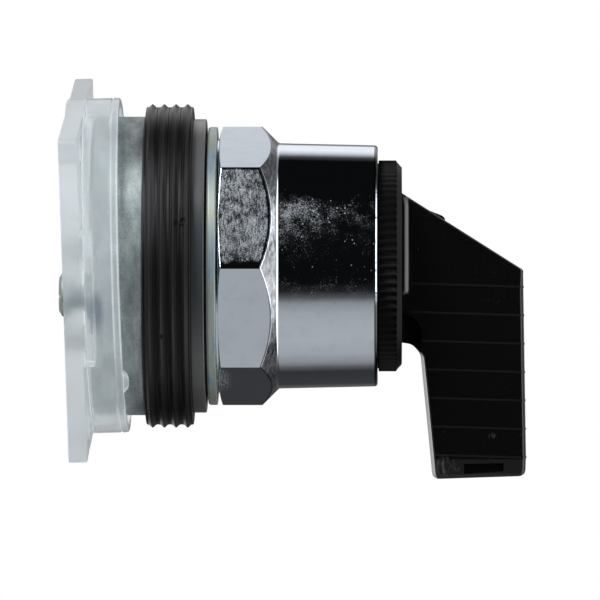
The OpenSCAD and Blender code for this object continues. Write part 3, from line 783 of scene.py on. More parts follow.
def spun(name, outline_at, angles):
    """A closed mesh whose outline may change with the angle about the axis."""
    verts = []
    for angle in angles:
        for x, r in outline_at(angle):
            verts.append((x * MM, r * math.cos(angle) * MM, r * math.sin(angle) * MM))
    count = len(verts) // len(angles)
    return smooth(outward(mesh_of(name, verts, quads(len(angles), len(angles), count))))


def even_angles(count):
    return [2 * math.pi * i / count for i in range(count)]


def turned(name, corners, count=TURNED_COLUMNS):
    outline = filleted(corners)
    return spun(name, lambda angle: outline, even_angles(count))


# %% [markdown]
# Four rubber gaskets are stacked behind the panel side. Each is a flat ring with a pointed ridge around
# its edge, so the stack reads as four ribs with narrow seams between them.

# %% The gaskets
GASKETS = 4
GASKET_EDGE = 0.14
RIDGE_FOOT = 0.30
RIDGE_RISE = 0.45
RIDGE_ROUND = 0.12
BORE_EDGE = 0.05
RUBBER_BORE_R = BARREL_R + 0.1


def gasket_mesh(name):
    rear, front, top = stations(name)
    middle = (rear + front) / 2
    edge = top - RIDGE_RISE
    return turned(name, [
        (rear, RUBBER_BORE_R, BORE_EDGE), (rear, edge, GASKET_EDGE), (rear + RIDGE_FOOT, edge, RIDGE_ROUND),
        (middle, top, RIDGE_ROUND), (front - RIDGE_FOOT, edge, RIDGE_ROUND), (front, edge, GASKET_EDGE),
        (front, RUBBER_BORE_R, BORE_EDGE)])


for number in range(1, GASKETS + 1):
    gasket = f"gasket_{number}"
    place(f"{gasket}_moulded", gasket_mesh(gasket), "rubber", "operator", gasket)

# %% [markdown]
# Moulding leaves marks. Two gaskets keep the ring of an ejector pin: a low round lip with a pit inside
# it. Each is a small turned ring, stood on the gasket's edge so that its axis points away from the
# switch.

# %% Ejector marks
MARKS = [("gasket_4", -0.22, 15.6, 0.52), ("gasket_2", 0.08, -25.6, 0.3)]
MARK_LIP = 0.14
MARK_LIP_ROUND = 0.06
MARK_ROOT = -0.4
MARK_ROOT_ROUND = 0.02
MARK_PIT = 0.6
MARK_SUNK = 0.16
MARK_COLUMNS = 40
MARK_CRISP = 40


def mark_mesh():
    """All marks, each given by its gasket, its shift along the axis, its lift in degrees and its radius."""
    joined = bmesh.new()
    for gasket, shift, lift, radius in MARKS:
        rear, front, top = stations(gasket)
        pit = radius * MARK_PIT
        ring = turned("mark", [
            (MARK_ROOT, pit, MARK_ROOT_ROUND), (MARK_ROOT, radius, MARK_ROOT_ROUND),
            (MARK_LIP, radius, MARK_LIP_ROUND), (MARK_LIP, pit, MARK_LIP_ROUND)], MARK_COLUMNS)
        away = Vector((0, -math.cos(math.radians(lift)), math.sin(math.radians(lift))))
        stand = Vector((1, 0, 0)).rotation_difference(away).to_matrix().to_4x4()
        at = Vector(((rear + front) / 2 + shift, 0, 0)) + away * (top - MARK_SUNK)
        ring.transform(Matrix.Translation(at * MM) @ stand)
        joined.from_mesh(ring)
    return smooth(ended(joined, "marks"), MARK_CRISP)


place("gasket_marks", mark_mesh(), "rubber", "operator")

# %% [markdown]
# The grey spacer ring, the thin black washer and the plated trim washer are plain turned rings. Their
# edges are what tells them apart: the plastic ring has small even chamfers and the steel washer one
# rolled edge.

# %% The rings behind the nut
PLAIN_RINGS = [
    ("spacer_ring", "turned", "grey_plastic", 0.05, 0.15, 0.18),
    ("sealing_washer", "cut", "black_fibre", 0.03, 0.08, 0.08),
]
ROLL_RUN = 0.3
ROLL_DROP = 0.12
ROLL_ROUNDS = (0.1, 0.25, 0.12)

for ring, made_by, slot, bore_round, rear_round, front_round in PLAIN_RINGS:
    rear, front, top = stations(ring)
    corners = [(rear, RUBBER_BORE_R, bore_round), (rear, top, rear_round), (front, top, front_round),
               (front, RUBBER_BORE_R, bore_round)]
    place(f"{ring}_{made_by}", turned(f"{ring}_{made_by}", corners), slot, "operator", ring)

rear, front, top = stations("trim_washer")
rolled = [(rear, RUBBER_BORE_R, BORE_EDGE), (rear, top - ROLL_DROP, ROLL_ROUNDS[0]),
          (rear + ROLL_RUN, top, ROLL_ROUNDS[1]), (front, top, ROLL_ROUNDS[2]),
          (front, RUBBER_BORE_R, BORE_EDGE)]
trim_mesh = turned("trim_washer_pressed", rolled)
place("trim_washer_pressed", trim_mesh, "zinc_plate", "operator", "trim_washer")

# %% [markdown]
# The ring nut is an octagon that a cone cuts down to a round bezel, so each flat ends in an arc. Its
# rear corners are cut back a little too. Crossing two solids would give that shape but leave ragged
# edges. Here every column of the mesh has its own outline instead: the octagon's radius at that angle
# sets where the cone begins, and the rows follow the arcs. Columns stand closer at the corners, where
# the form turns.

# %% The chrome ring nut
nut_rear, nut_front = stations("ring_nut")[:2]
FLATS = 8
HALF_FLAT = math.pi / FLATS
NUT_TURN = math.radians(1.2)
FLAT_R = 35.3 / 2
POINT_R = FLAT_R / math.cos(HALF_FLAT)
CORNER_ROUND = 0.3
SEAT_RISE = 0.3
SEAT_R = BARREL_R + 2.4
SEAT_ROUND = 0.08
SEAT_FOOT = 0.02
CONE_FROM = nut_rear + SEAT_RISE + 5.8
REAR_LEAN = 0.24
REAR_INSET = 0.3
REAR_ROUND = 0.2
ARC_ROUND = 0.32
BEZEL_REAR_R = 16.8
BEZEL_FRONT_R = 16.5
BEZEL_FROM = CONE_FROM + POINT_R - BEZEL_REAR_R
NECK_ROUND = 0.6
BEZEL_ROUND = 0.5
NUT_BORE_R = BARREL_R + 0.05
NUT_BORE_ROUND = 0.1
FLAT_COLUMNS = 14
CORNER_COLUMNS = 8
CORNER_SPREAD = 1.4
FLAT_INSET = 2.5


def octagon_radius(angle):
    """Radius of the octagon with rounded corners, at an angle from one of its corners."""
    away = abs((angle + HALF_FLAT) % (2 * HALF_FLAT) - HALF_FLAT)
    arc_centre = (FLAT_R - CORNER_ROUND) / math.cos(HALF_FLAT)
    run = arc_centre + CORNER_ROUND * math.cos(HALF_FLAT)
    if away < math.atan2(CORNER_ROUND * math.sin(HALF_FLAT), run):
        lean = math.sqrt(CORNER_ROUND ** 2 - (arc_centre * math.sin(away)) ** 2)
        return arc_centre * math.cos(away) + lean
    return FLAT_R / math.cos(HALF_FLAT - away)


def nut_outline(angle):
    r = octagon_radius(angle - math.pi / 2 - NUT_TURN)
    face = nut_rear + SEAT_RISE
    rear_x = face + (r - FLAT_R) * REAR_LEAN
    arc_x = CONE_FROM + POINT_R - r
    return filleted([
        (nut_rear, NUT_BORE_R, BORE_EDGE), (nut_rear, SEAT_R, SEAT_ROUND), (face, SEAT_R, SEAT_FOOT),
        (face, FLAT_R - REAR_INSET, 0), (rear_x, r, REAR_ROUND), (arc_x, r, ARC_ROUND),
        (BEZEL_FROM, BEZEL_REAR_R, NECK_ROUND), (nut_front, BEZEL_FRONT_R, BEZEL_ROUND),
        (nut_front, NUT_BORE_R, NUT_BORE_ROUND)])


def nut_angles():
    corner = CORNER_ROUND * math.sin(HALF_FLAT) / FLAT_R
    wide = corner * CORNER_SPREAD
    inset = corner * FLAT_INSET
    angles = []
    for flat in range(FLATS):
        middle = 2 * HALF_FLAT * flat + math.pi / 2 + NUT_TURN
        angles += [middle + wide * (2 * k / CORNER_COLUMNS - 1) for k in range(CORNER_COLUMNS + 1)]
        start, end = middle + inset, middle + 2 * HALF_FLAT - inset
        angles += [start + (end - start) * k / FLAT_COLUMNS for k in range(FLAT_COLUMNS + 1)]
    return angles


nut_mesh = spun("ring_nut_plated", nut_outline, nut_angles())
place("ring_nut_plated", nut_mesh, "chrome", "operator", "ring_nut")

# %% [markdown]
# Two pieces are made with Geometry Nodes, because their patterns are counts: the teeth of a knurl and
# the ribs of a grip. A tree is built in code with its counts and sizes as named inputs, run once on a
# mesh as a modifier, and baked.


# %% Geometry Nodes helper
class Shape(Web):
    """A geometry tree with named inputs, used once on a mesh."""

    def __init__(self, name, **inputs):
        self.group = bpy.data.node_groups.new(name, "GeometryNodeTree")
        super().__init__(self.group)
        self.group.interface.new_socket("Geometry", in_out="INPUT", socket_type="NodeSocketGeometry")
        self.values = inputs
        for key, value in inputs.items():
            kind = "NodeSocketInt" if isinstance(value, int) else "NodeSocketFloat"
            self.group.interface.new_socket(key, in_out="INPUT", socket_type=kind)
        self.group.interface.new_socket("Geometry", in_out="OUTPUT", socket_type="NodeSocketGeometry")
        self.start = self.tree.nodes.new("NodeGroupInput")

    def given(self, key):
        return Val(self, self.start.outputs[key])

    def run(self, mesh, geometry, slot):
        """Ends the tree, runs it on a mesh and gives back a plain mesh."""
        real = self.node("GeometryNodeRealizeInstances", None, {0: geometry})
        sockets = {"Geometry": real, "Material": finishes[slot]}
        painted = self.node("GeometryNodeSetMaterial", None, sockets)
        end = self.tree.nodes.new("NodeGroupOutput")
        self.tree.links.new(painted.socket, end.inputs[0])
        obj = linked("bench", mesh)
        modifier = obj.modifiers.new("shape", "NODES")
        modifier.node_group = self.group
        for item in self.group.interface.items_tree:
            if item.in_out == "INPUT" and item.name in self.values:
                modifier[item.identifier] = self.values[item.name]
        return baked(obj)


# %% [markdown]
# The collar under the lever has a straight knurl. It starts as a plain turned ring with one point
# attribute that says where the knurl is. The tree then presses a tooth profile into it: a triangle wave
# of the angle, smoothed at crest and root. A straight knurl could also be an array of teeth, but
# pressing keeps one closed skin.

# %% The knurled collar
collar_low, collar_high = span("knurled_collar")
COLLAR_R = collar_high.z
COLLAR_FACE_R = COLLAR_R - 0.2
COLLAR_CHAMFER = 0.78
COLLAR_ROUNDS = (0.1, 0.05, 0.1, 0.16, 0.06, 0.12)
COLLAR_CRISP = 50
TEETH = 78
TOOTH_DEPTH = 0.48
COLUMNS_PER_TOOTH = 8
KNURL_FROM = nut_front + 0.12
KNURL_TO = collar_high.x - 0.75
KNURL_LIP = 0.06
KNURL_MARGIN = 0.02
SKIRT_R = NUT_BORE_R - 1.0
STUB_R = 3.225


def collar_blank():
    places = [
        (collar_low.x, SKIRT_R), (KNURL_FROM, SKIRT_R), (KNURL_FROM, COLLAR_R), (KNURL_TO, COLLAR_R),
        (KNURL_TO + KNURL_LIP, COLLAR_FACE_R), (collar_high.x, COLLAR_FACE_R - COLLAR_CHAMFER)]
    corners = [(x, r, edge) for (x, r), edge in zip(places, COLLAR_ROUNDS)]
    outline = filleted([
        (collar_low.x, STUB_R, BORE_EDGE), *corners, (collar_high.x, STUB_R, BORE_EDGE)])
    mesh = spun("collar_blank", lambda angle: outline, even_angles(TEETH * COLUMNS_PER_TOOTH))
    knurl = mesh.attributes.new("knurl", "FLOAT", "POINT")
    for vert, value in zip(mesh.vertices, knurl.data):
        x = vert.co.x / MM
        r = math.hypot(vert.co.y, vert.co.z) / MM
        value.value = float(r > COLLAR_FACE_R + KNURL_MARGIN and x < KNURL_TO + KNURL_MARGIN)
    return mesh


def knurled(mesh):
    tree = Shape("straight_knurl", Teeth=TEETH, Depth=TOOTH_DEPTH * MM)
    position = tree.node("GeometryNodeInputPosition")
    parts = tree.node("ShaderNodeSeparateXYZ", None, {0: position}).socket.node
    y, z = Val(tree, parts.outputs[1]), Val(tree, parts.outputs[2])
    turns = tree.node("ShaderNodeMath", {"operation": "ARCTAN2"}, {0: z, 1: y}) / (2 * math.pi)
    wave = (turns * tree.given("Teeth")).math("PINGPONG", 0.5) * 2
    groove = wave * wave * (3 - wave * 2)
    mask = tree.node("GeometryNodeInputNamedAttribute", {"data_type": "FLOAT"}, {"Name": "knurl"})
    unit = tree.node("ShaderNodeVectorMath", {"operation": "NORMALIZE"}, {0: tree.vector(0.0, y, z)})
    sink = groove * tree.given("Depth") * mask * -1
    offset = tree.node("ShaderNodeVectorMath", {"operation": "SCALE"}, {0: unit, "Scale": sink})
    sockets = {"Geometry": tree.given("Geometry"), "Offset": offset}
    return tree.run(mesh, tree.node("GeometryNodeSetPosition", None, sockets), "black_collar")


collar_mesh = smooth(knurled(collar_blank()), COLLAR_CRISP)
place("knurled_collar_moulded", collar_mesh, "black_collar", "knob", "knurled_collar")

# %% [markdown]
# The lever is one black moulding: a wedge whose back falls away to a finger, with a curve under its
# hub. Box modelling would do, but it is lofted from level slices here, because then one side outline
# gives the whole form. The outline is drawn first, with a fillet at each corner that the real one
# rounds.

# %% Lever outline
lever_low, lever_high = span("lever_handle")
LEVER_ROOT = collar_high.x
RIB_SHOW = 0.07
LEVER_FRONT = lever_high.x - RIB_SHOW
LEVER_TIP = lever_low.z
LEVER_TOP = lever_high.z
SLOPE_END = -0.6
SLOPE_SHORT = 0.4
SLOPE_ROUND = 0.7
FINGER_BACK = LEVER_FRONT - 12.8
HUB_BACK = LEVER_ROOT + 2.4
HUB_LOW = -10.5
HUB_HEEL = (0.14, 1.5)
HUB_TOE = (1.4, 0.2)
HUB_ROUND = 2.0
TIP_SLANT = 0.4
TIP_LEAN = (0.1, 3.0)
TIP_ROUND = 0.9
lever_side = filleted([
    (LEVER_ROOT, LEVER_TOP, 0),
    (LEVER_FRONT - SLOPE_SHORT, SLOPE_END, SLOPE_ROUND),
    (LEVER_FRONT, LEVER_TIP + TIP_LEAN[1], 0),
    (LEVER_FRONT - TIP_LEAN[0], LEVER_TIP + TIP_SLANT, TIP_ROUND),
    (FINGER_BACK, LEVER_TIP, TIP_ROUND),
    (HUB_BACK + HUB_HEEL[0], HUB_LOW - HUB_HEEL[1], HUB_ROUND),
    (LEVER_ROOT + HUB_TOE[0], HUB_LOW - HUB_TOE[1], HUB_ROUND),
    (LEVER_ROOT, HUB_LOW, 0)])
print("the lever's side outline has", len(lever_side), "points")

# %% [markdown]
# Two questions follow for any height: how far back and forward the outline reaches there, and how wide
# the lever is. It narrows to the front, more so near its tip, and its lower edge is round.

# %% Lever width
ROOT_HALF = 5.5
FRONT_HALF = 4.7
TAPER_FROM = LEVER_TIP + 2.8
TAPER_LEAN = 0.28
TIP_EDGE = 0.35


def clamped(share):
    return min(1.0, max(0.0, share))


def reach(z):
    """How far back and forward the lever's side outline reaches at a height."""
    places = []
    for (x0, z0), (x1, z1) in zip(lever_side, lever_side[1:] + lever_side[:1]):
        if min(z0, z1) <= z <= max(z0, z1) and z0 != z1:
            places.append(x0 + (x1 - x0) * (z - z0) / (z1 - z0))
    return min(places), max(places)


def half_width(x, z):
    """Half the lever's width at a place, with the tapered tip and its round lower edge."""
    run = (x - LEVER_ROOT) / (LEVER_FRONT - LEVER_ROOT)
    half = ROOT_HALF + (FRONT_HALF - ROOT_HALF) * run
    taper = max(0.0, TAPER_FROM - z) * TAPER_LEAN
    floor_z = LEVER_TIP + TIP_SLANT * (x - FINGER_BACK) / (LEVER_FRONT - FINGER_BACK)
    low = max(0.0, TIP_EDGE - max(0.0, z - floor_z))
    return half - taper - (TIP_EDGE - math.sqrt(TIP_EDGE ** 2 - low ** 2))


print("the lever is", round(2 * half_width(LEVER_ROOT, 0), 2), "mm wide at its root")

# %% [markdown]
# A slice is a closed loop of points at one height. Its corners are round, and round corners matter
# most, because they carry the thin bright lines that draw a black shape. One extra point in the middle
# of each end crowns it. Near the top the rear corners give way to the flared foot that meets the
# collar.

# %% Lever slices
ARC_STEPS = 8
FOOT_OUT = 0.9
FOOT_LOW = -3.4
FOOT = [(0, 0.3), (0.36, 0.3), (0.4, 0.29), (0.45, 0.27), (0.6, 0.2), (0.75, 0.12), (0.9, 0.05),
        (0.96, 0.02), (1, 0)]
FLARE_SHARE = 0.4
FLARE_BLEND = 0.3
FRONT_ROUND = 0.45
FRONT_SHARE = 0.4
FRONT_CROWN = 0.2
BACK_ROUND = 0.35
BACK_SHARE = 0.3
BACK_CROWN = 0.42
BACK_CROWN_FROM = HUB_LOW - 0.6
BACK_CROWN_RUN = 1.5
CROWN_LENGTH = 8.0
HOLD_AT = (0.03, 0.97)


def slice_points(z, grow):
    """One level slice: its near side from back to front, then its far side."""
    crown_back, crown_front = reach(z)
    full = clamped((crown_front - crown_back) / CROWN_LENGTH) * clamped(SLOPE_END - z)
    free = clamped((BACK_CROWN_FROM - z) / BACK_CROWN_RUN)
    back = crown_back + BACK_CROWN * full * free
    front = crown_front + grow - FRONT_CROWN * full
    length = front - back
    round_back = min(BACK_ROUND, length * BACK_SHARE)
    round_front = min(FRONT_ROUND, length * FRONT_SHARE)
    flare = min(FOOT_OUT * clamped((z - FOOT_LOW) / FOOT_OUT + 1), length * FLARE_SHARE)
    flared = min(1.0, flare / (FOOT_OUT * FLARE_BLEND))
    at_back = half_width(back, z) + grow
    at_front = half_width(front, z) + grow
    rear = []
    fore = []
    for k, foot in enumerate(FOOT):
        turn = math.pi / 2 * k / ARC_STEPS
        rise, run = 1 - math.sin(turn), 1 - math.cos(turn)
        step = Vector(foot) * flare * flared + Vector((run, -rise)) * round_back * (1 - flared)
        rear.append((back + step.x, at_back + step.y))
        fore.append((front - round_front * rise, at_front - round_front * run))
    (x0, w0), (x1, w1) = rear[-1], fore[0]
    held = [(x0 + (x1 - x0) * share, w0 + (w1 - w0) * share) for share in HOLD_AT]
    near = rear + held + fore
    loop = [(x, -w, z) for x, w in near] + [(crown_front + grow, 0, z)]
    return loop + [(x, w, z) for x, w in reversed(near)] + [(crown_back, 0, z)]


print("a slice has", len(slice_points(SLOPE_END, 0)), "points")

# %% [markdown]
# All slices have equally many points, so skinning them is simple. They stand closer where the form
# bends: at the tip, the taper, the hub, the foot and the top. A block that is grown a little serves for
# the ribs.

# %% Lever block
TAPER_HOLD = 0.15
NUDGE = 0.01
TIP_LEVELS = (0.1, 0.25, 0.5, 0.75, 1.0, 1.5, 2.0, 2.5, 3.0)
TOP_LEVELS = (0.3, 0.7, 1.1, 1.6, 2.5, 4.0, 6.0, 8.0)


def lofted(name, loops):
    """A closed mesh through loops of equally many points, in millimetres."""
    count = len(loops[0])
    verts = [Vector(point) * MM for loop in loops for point in loop]
    ends = [list(range(count)), list(range(len(verts) - count, len(verts)))]
    return outward(mesh_of(name, verts, ends + quads(len(loops) - 1, len(loops), count)))


def lever_block(grow):
    heights = {round(z, 4) for x, z in lever_side}
    heights |= {TAPER_FROM - TAPER_HOLD, TAPER_FROM, TAPER_FROM + TAPER_HOLD}
    heights |= {FOOT_LOW, FOOT_LOW - FOOT_OUT / 2, FOOT_LOW - FOOT_OUT, HUB_LOW - NUDGE, HUB_LOW + NUDGE}
    heights |= {LEVER_TIP + TIP_EDGE * share for share in TIP_LEVELS}
    heights |= {LEVER_TOP - drop for drop in TOP_LEVELS}
    low, high = min(heights) + NUDGE, max(heights) - NUDGE * 3
    levels = sorted(z for z in heights if low < z < high and abs(z - HUB_LOW) > NUDGE / 2)
    return lofted("lever_block", [slice_points(z, grow) for z in [low, *levels, high]])


# %% [markdown]
# Details are cut with bars: a flat outline pushed across the lever. A bar reaches far past the lever,
# so that none of its ends falls on a face of the lever.

# %% Bars to cut with
FAR = 40.0


def prism(points, start, end):
    """A flat (x, z) outline pushed across the lever between two places, as a closed mesh."""
    return lofted("prism", [[(x, y, z) for x, z in points] for y in (start, end)])


def arc(centre, radius, start, end, steps):
    """Points on a circle, between two angles in degrees."""
    turns = [math.radians(start + (end - start) * k / steps) for k in range(steps + 1)]
    return [(centre[0] + radius * math.cos(t), centre[1] + radius * math.sin(t)) for t in turns]


# %% [markdown]
# Beside the hub two round hollows open to the rear and below. They are the last thing to be cut: cut
# first, they left open edges in the next Boolean.

# %% Scoops
CORE_HALF = 3.1
SCOOP_R = 3.1
SCOOP_Z = -9.6
SCOOP_BACK = 0.3
SCOOP_PAST = (0.2, 2.0)
SCOOP_ARC = (0, 180, 24)


def scooped(body):
    """Cuts the hollows beside the hub: round pockets that open to the rear and below."""
    middle = (LEVER_ROOT - SCOOP_BACK, SCOOP_Z)
    right = HUB_BACK + SCOOP_PAST[0]
    edge = LEVER_TIP - SCOOP_PAST[1]
    points = [*arc(middle, SCOOP_R, *SCOOP_ARC), (middle[0] - SCOOP_R, edge), (right, edge),
              (right, SCOOP_Z)]
    for side in (-1, 1):
        body = cut(body, prism(points, side * CORE_HALF, side * FAR), "DIFFERENCE")
    return body


# %% [markdown]
# A few more cuts and one small addition finish the moulding: a shallow panel at each side of the tip,
# the pockets for the white pointer and the grub screw, and the pip that marks the slope.

# %% The lever
PANEL = [(8.55, 0.7), (3.15, 1.05), (3.15, 2.2), (8.55, 2.1)]
PANEL_GAUGE = (4.275, 0.45)
PANEL_DEEP = 0.12
INLAY = (7.4, 17.6, 0.6, 0.8)
INLAY_FIT = 0.05
GRUB_X = LEVER_ROOT + 4.3
GRUB_R = 1.55
GRUB_FROM = 2.2
GRUB_ARC = (0, 350, 35)
PIP = [(4.34, -0.3), (4.34, 0.02), (6.132, 0.37), (6.516, 0.37), (6.9, 0.185), (7.0, -0.3)]
PIP_HALF = 1.5
LEVER_CRISP = 32
slope_down = Vector((LEVER_FRONT - SLOPE_SHORT - LEVER_ROOT, 0, SLOPE_END - LEVER_TOP)).normalized()
slope_up = Vector((-slope_down.z, 0, slope_down.x))


def on_slope(points, half):
    """An outline of (along, above) places on the slope, as a bar across the lever."""
    start = Vector((LEVER_ROOT, 0, LEVER_TOP))
    spots = [start + slope_down * a + slope_up * b for a, b in points]
    return prism([(s.x, s.z) for s in spots], -half, half)


def lever_mesh():
    body = lever_block(0)
    inner = half_width(LEVER_FRONT - PANEL_GAUGE[0], LEVER_TIP + PANEL_GAUGE[1]) - PANEL_DEEP
    panel = [(LEVER_FRONT - behind, LEVER_TIP + above) for behind, above in PANEL]
    for side in (-1, 1):
        body = cut(body, prism(panel, side * inner, side * FAR), "DIFFERENCE")
    start, end, deep, half = INLAY
    start, end, deep, half = start - INLAY_FIT, end + INLAY_FIT, deep + INLAY_FIT, half + INLAY_FIT
    pocket = on_slope([(start, 1), (end, 1), (end, -deep), (start, -deep)], half)
    body = cut(body, pocket, "DIFFERENCE")
    grub = arc((GRUB_X, 0), GRUB_R, *GRUB_ARC)
    body = cut(body, prism(grub, GRUB_FROM, FAR), "DIFFERENCE")
    body = cut(body, on_slope(PIP, PIP_HALF), "UNION")
    return smooth(scooped(body), LEVER_CRISP)


place("lever_moulded", lever_mesh(), "black_gloss", "knob", "lever_handle")

# %% [markdown]
# Seven thin ribs wrap the lever for grip. A Geometry Nodes tree lays a row of thin slabs down the lever
# and keeps what each shares with a slightly larger copy of the block, scoops and all, so that every rib
# follows the taper and stops where the lever does.

# %% Grip ribs
RIBS = 7
RIB_FIRST = -2.77
RIB_LAST = LEVER_TIP + 3.06
RIB_STEP = (RIB_FIRST - RIB_LAST) / (RIBS - 1)
RIB_T = 0.28
RIB_LEAN = math.radians(1.8)
RIB_CLEAR = 0.2
RIB_CRISP = 30
SLAB = (24.0, 30.0)


def rib_mesh():
    tree = Shape("grip_ribs", Ribs=RIBS, First=RIB_FIRST * MM, Step=RIB_STEP * MM, Thickness=RIB_T * MM)
    middle_x = LEVER_ROOT + FOOT_OUT + RIB_CLEAR + SLAB[0] / 2
    first = tree.vector(middle_x * MM, 0.0, tree.given("First"))
    pitch = tree.vector(0.0, 0.0, tree.given("Step") * -1)
    row = tree.node("GeometryNodeMeshLine", {"mode": "OFFSET"},
                    {"Count": tree.given("Ribs"), "Start Location": first, "Offset": pitch})
    size = tree.vector(SLAB[0] * MM, SLAB[1] * MM, tree.given("Thickness"))
    slab = tree.node("GeometryNodeMeshCube", None, {"Size": size})
    lean = tree.node("FunctionNodeEulerToRotation", None, {0: (0.0, RIB_LEAN, 0.0)})
    slabs = tree.node("GeometryNodeInstanceOnPoints", None,
                      {"Points": row, "Instance": slab, "Rotation": lean})
    loose = tree.node("GeometryNodeRealizeInstances", None, {0: slabs})
    crossed = tree.node("GeometryNodeMeshBoolean", {"operation": "INTERSECT", "solver": "EXACT"},
                        {"Mesh 2": tree.given("Geometry")})
    tree.tree.links.new(loose.socket, crossed.socket.node.inputs["Mesh 2"])
    return tree.run(scooped(lever_block(RIB_SHOW)), crossed, "black_gloss")


place("lever_grip_ribs", smooth(rib_mesh(), RIB_CRISP), "black_gloss", "knob", finish="rib_painted_highlight")

# %% [markdown]
# The adaptor at the rear is an oblong plate with a round cup that hugs the flange. Its plate and pads
# are boxes with round corners and bevelled rims, and its nubs and holes are plain bars. Two functions
# make both with bmesh, which bevels chosen edges where a modifier would bevel all.

# %% Boxes and bars
CORNER_SEGMENTS = 5
BEVEL_SEGMENTS = 3
RIM_ANGLE = 1.2
BAR_SIDES = 48


def bevel(bm, edges, offset, segments):
    bmesh.ops.bevel(bm, geom=edges, offset=offset, segments=segments, affect="EDGES", profile=0.5)


def rounded_box(low, high, corner, edge):
    """A box with round corners in its YZ outline and a fine bevel on its rims."""
    bm = bmesh.new()
    bmesh.ops.create_cube(bm, size=1.0)
    size = Vector(high) - Vector(low)
    for vert in bm.verts:
        vert.co = Vector(low) + Vector(((vert.co[i] + 0.5) * size[i] for i in range(3)))
    long_edges = [e for e in bm.edges if abs(e.verts[0].co.x - e.verts[1].co.x) > TINY]
    bevel(bm, long_edges, corner, CORNER_SEGMENTS)
    rims = [e for e in bm.edges if len(e.link_faces) == 2 and e.calc_face_angle() > RIM_ANGLE]
    bevel(bm, rims, edge, BEVEL_SEGMENTS)
    bmesh.ops.scale(bm, vec=(MM, MM, MM), verts=bm.verts)
    return outward(ended(bm, "box"))


def cylinder(start, end, radius):
    """A closed round bar between two points, in millimetres."""
    bm = bmesh.new()
    axis = Vector(end) - Vector(start)
    bmesh.ops.create_cone(bm, cap_ends=True, segments=BAR_SIDES, radius1=radius, radius2=radius,
                          depth=axis.length)
    stand = axis.to_track_quat("Z", "Y").to_matrix().to_4x4()
    move = Matrix.Translation((Vector(start) + Vector(end)) / 2)
    bmesh.ops.transform(bm, matrix=Matrix.Scale(MM, 4) @ move @ stand, verts=bm.verts)
    return ended(bm, "bar")


# %% [markdown]
# The pieces are drawn level and flat. The cup is turned, with a fine groove near its rim. Faces that
# fall on each other confuse a Boolean, so cup, pads and nubs stay a few hundredths of a millimetre shy
# of the faces that they meet.

# %% Pieces of the adaptor
PLATE = (2.5, 57.0, 43.8)
CUP_R = 22.9
CUP_BORE_R = 12.0
CUP_WALL = 1.2
CUP_SHY = 0.02
CUP_GROOVE = [(1.2, 0.0, 0.1), (1.02, 0.18, 0.06), (0.85, 0.0, 0.1)]
CUP_ROUNDS = {"bore": 0.02, "foot": 0.25, "rim": 0.3, "lip": 0.25, "floor": 0.4}
PAD = (1.5, 17.8)
PAD_ROOT = (0.5, 0.6)
PAD_CORNER = 0.3
PAD_BEVEL = 0.15
PAD_SHY = 0.03
NUB_R = 2.2
NUB_OUT = 0.75
NUB_SUNK = 0.12
NUB_TURN = math.radians(225) - PLATE_TURN


def cup_mesh():
    back, inner = CUP_SHY - PLATE[0], CUP_R - CUP_WALL
    groove = [(CUP_DEPTH - behind, CUP_R - deep, edge) for behind, deep, edge in CUP_GROOVE]
    return turned("cup", [
        (back, CUP_BORE_R, CUP_ROUNDS["bore"]), (back, CUP_R, CUP_ROUNDS["foot"]), *groove,
        (CUP_DEPTH, CUP_R, CUP_ROUNDS["rim"]), (CUP_DEPTH, inner, CUP_ROUNDS["lip"]),
        (CUP_SHY, inner, CUP_ROUNDS["floor"]), (CUP_SHY, CUP_BORE_R, CUP_ROUNDS["bore"])])


def nub_mesh(side):
    """The round lug that stands out of the cup's rim."""
    turn = NUB_TURN + side * math.pi
    out = Vector((0, math.cos(turn), math.sin(turn)))
    start = Vector((CUP_DEPTH + NUB_OUT - NUB_R, 0, 0)) + out * (CUP_R - CUP_WALL + NUB_SUNK)
    return cylinder(start, start + out * (CUP_WALL - 2 * NUB_SUNK), NUB_R)


def pad_mesh(end):
    """The raised pad between the cup and one end of the plate."""
    near, far = sorted((end * (CUP_R - PAD_ROOT[1]), end * (PLATE[1] / 2 - PAD_SHY)))
    half = PAD[1] / 2
    return rounded_box((-PAD_ROOT[0], near, -half), (PAD[0], far, half), PAD_CORNER, PAD_BEVEL)


# %% [markdown]
# Joining comes before drilling, so that each hole goes through everything in its way. The corner holes
# belong to the plate, so they are drilled before it is turned and tipped to where the photograph shows
# it. The holes for screws and rods come after, since they follow the switch's own axis.

# %% The adaptor
SCREW_TURN = math.radians(13.5)
PLATE_CORNER = 0.8
PLATE_BEVEL = 0.18
HOLE_AT = 19.0
HOLE_R = 1.6
HOLE_PAST = (1.0, 0.7)
SCREW_AT = 16.8
SCREW_HOLE = (-6.0, 1.0, 1.8)
SCREW_SINK = (-6.0, -1.7, 3.7)
ROD_AT = 9.0
ROD_HOLE = (-5.0, 4.0, 1.83)
ADAPTOR_CRISP = 32
tilt = Matrix.Rotation(PLATE_TURN, 4, "X") @ Matrix.Translation((ADAPTOR_X * MM, 0, 0))
tilt = tilt @ Matrix.Rotation(-ADAPTOR_ROCK, 4, "Y")


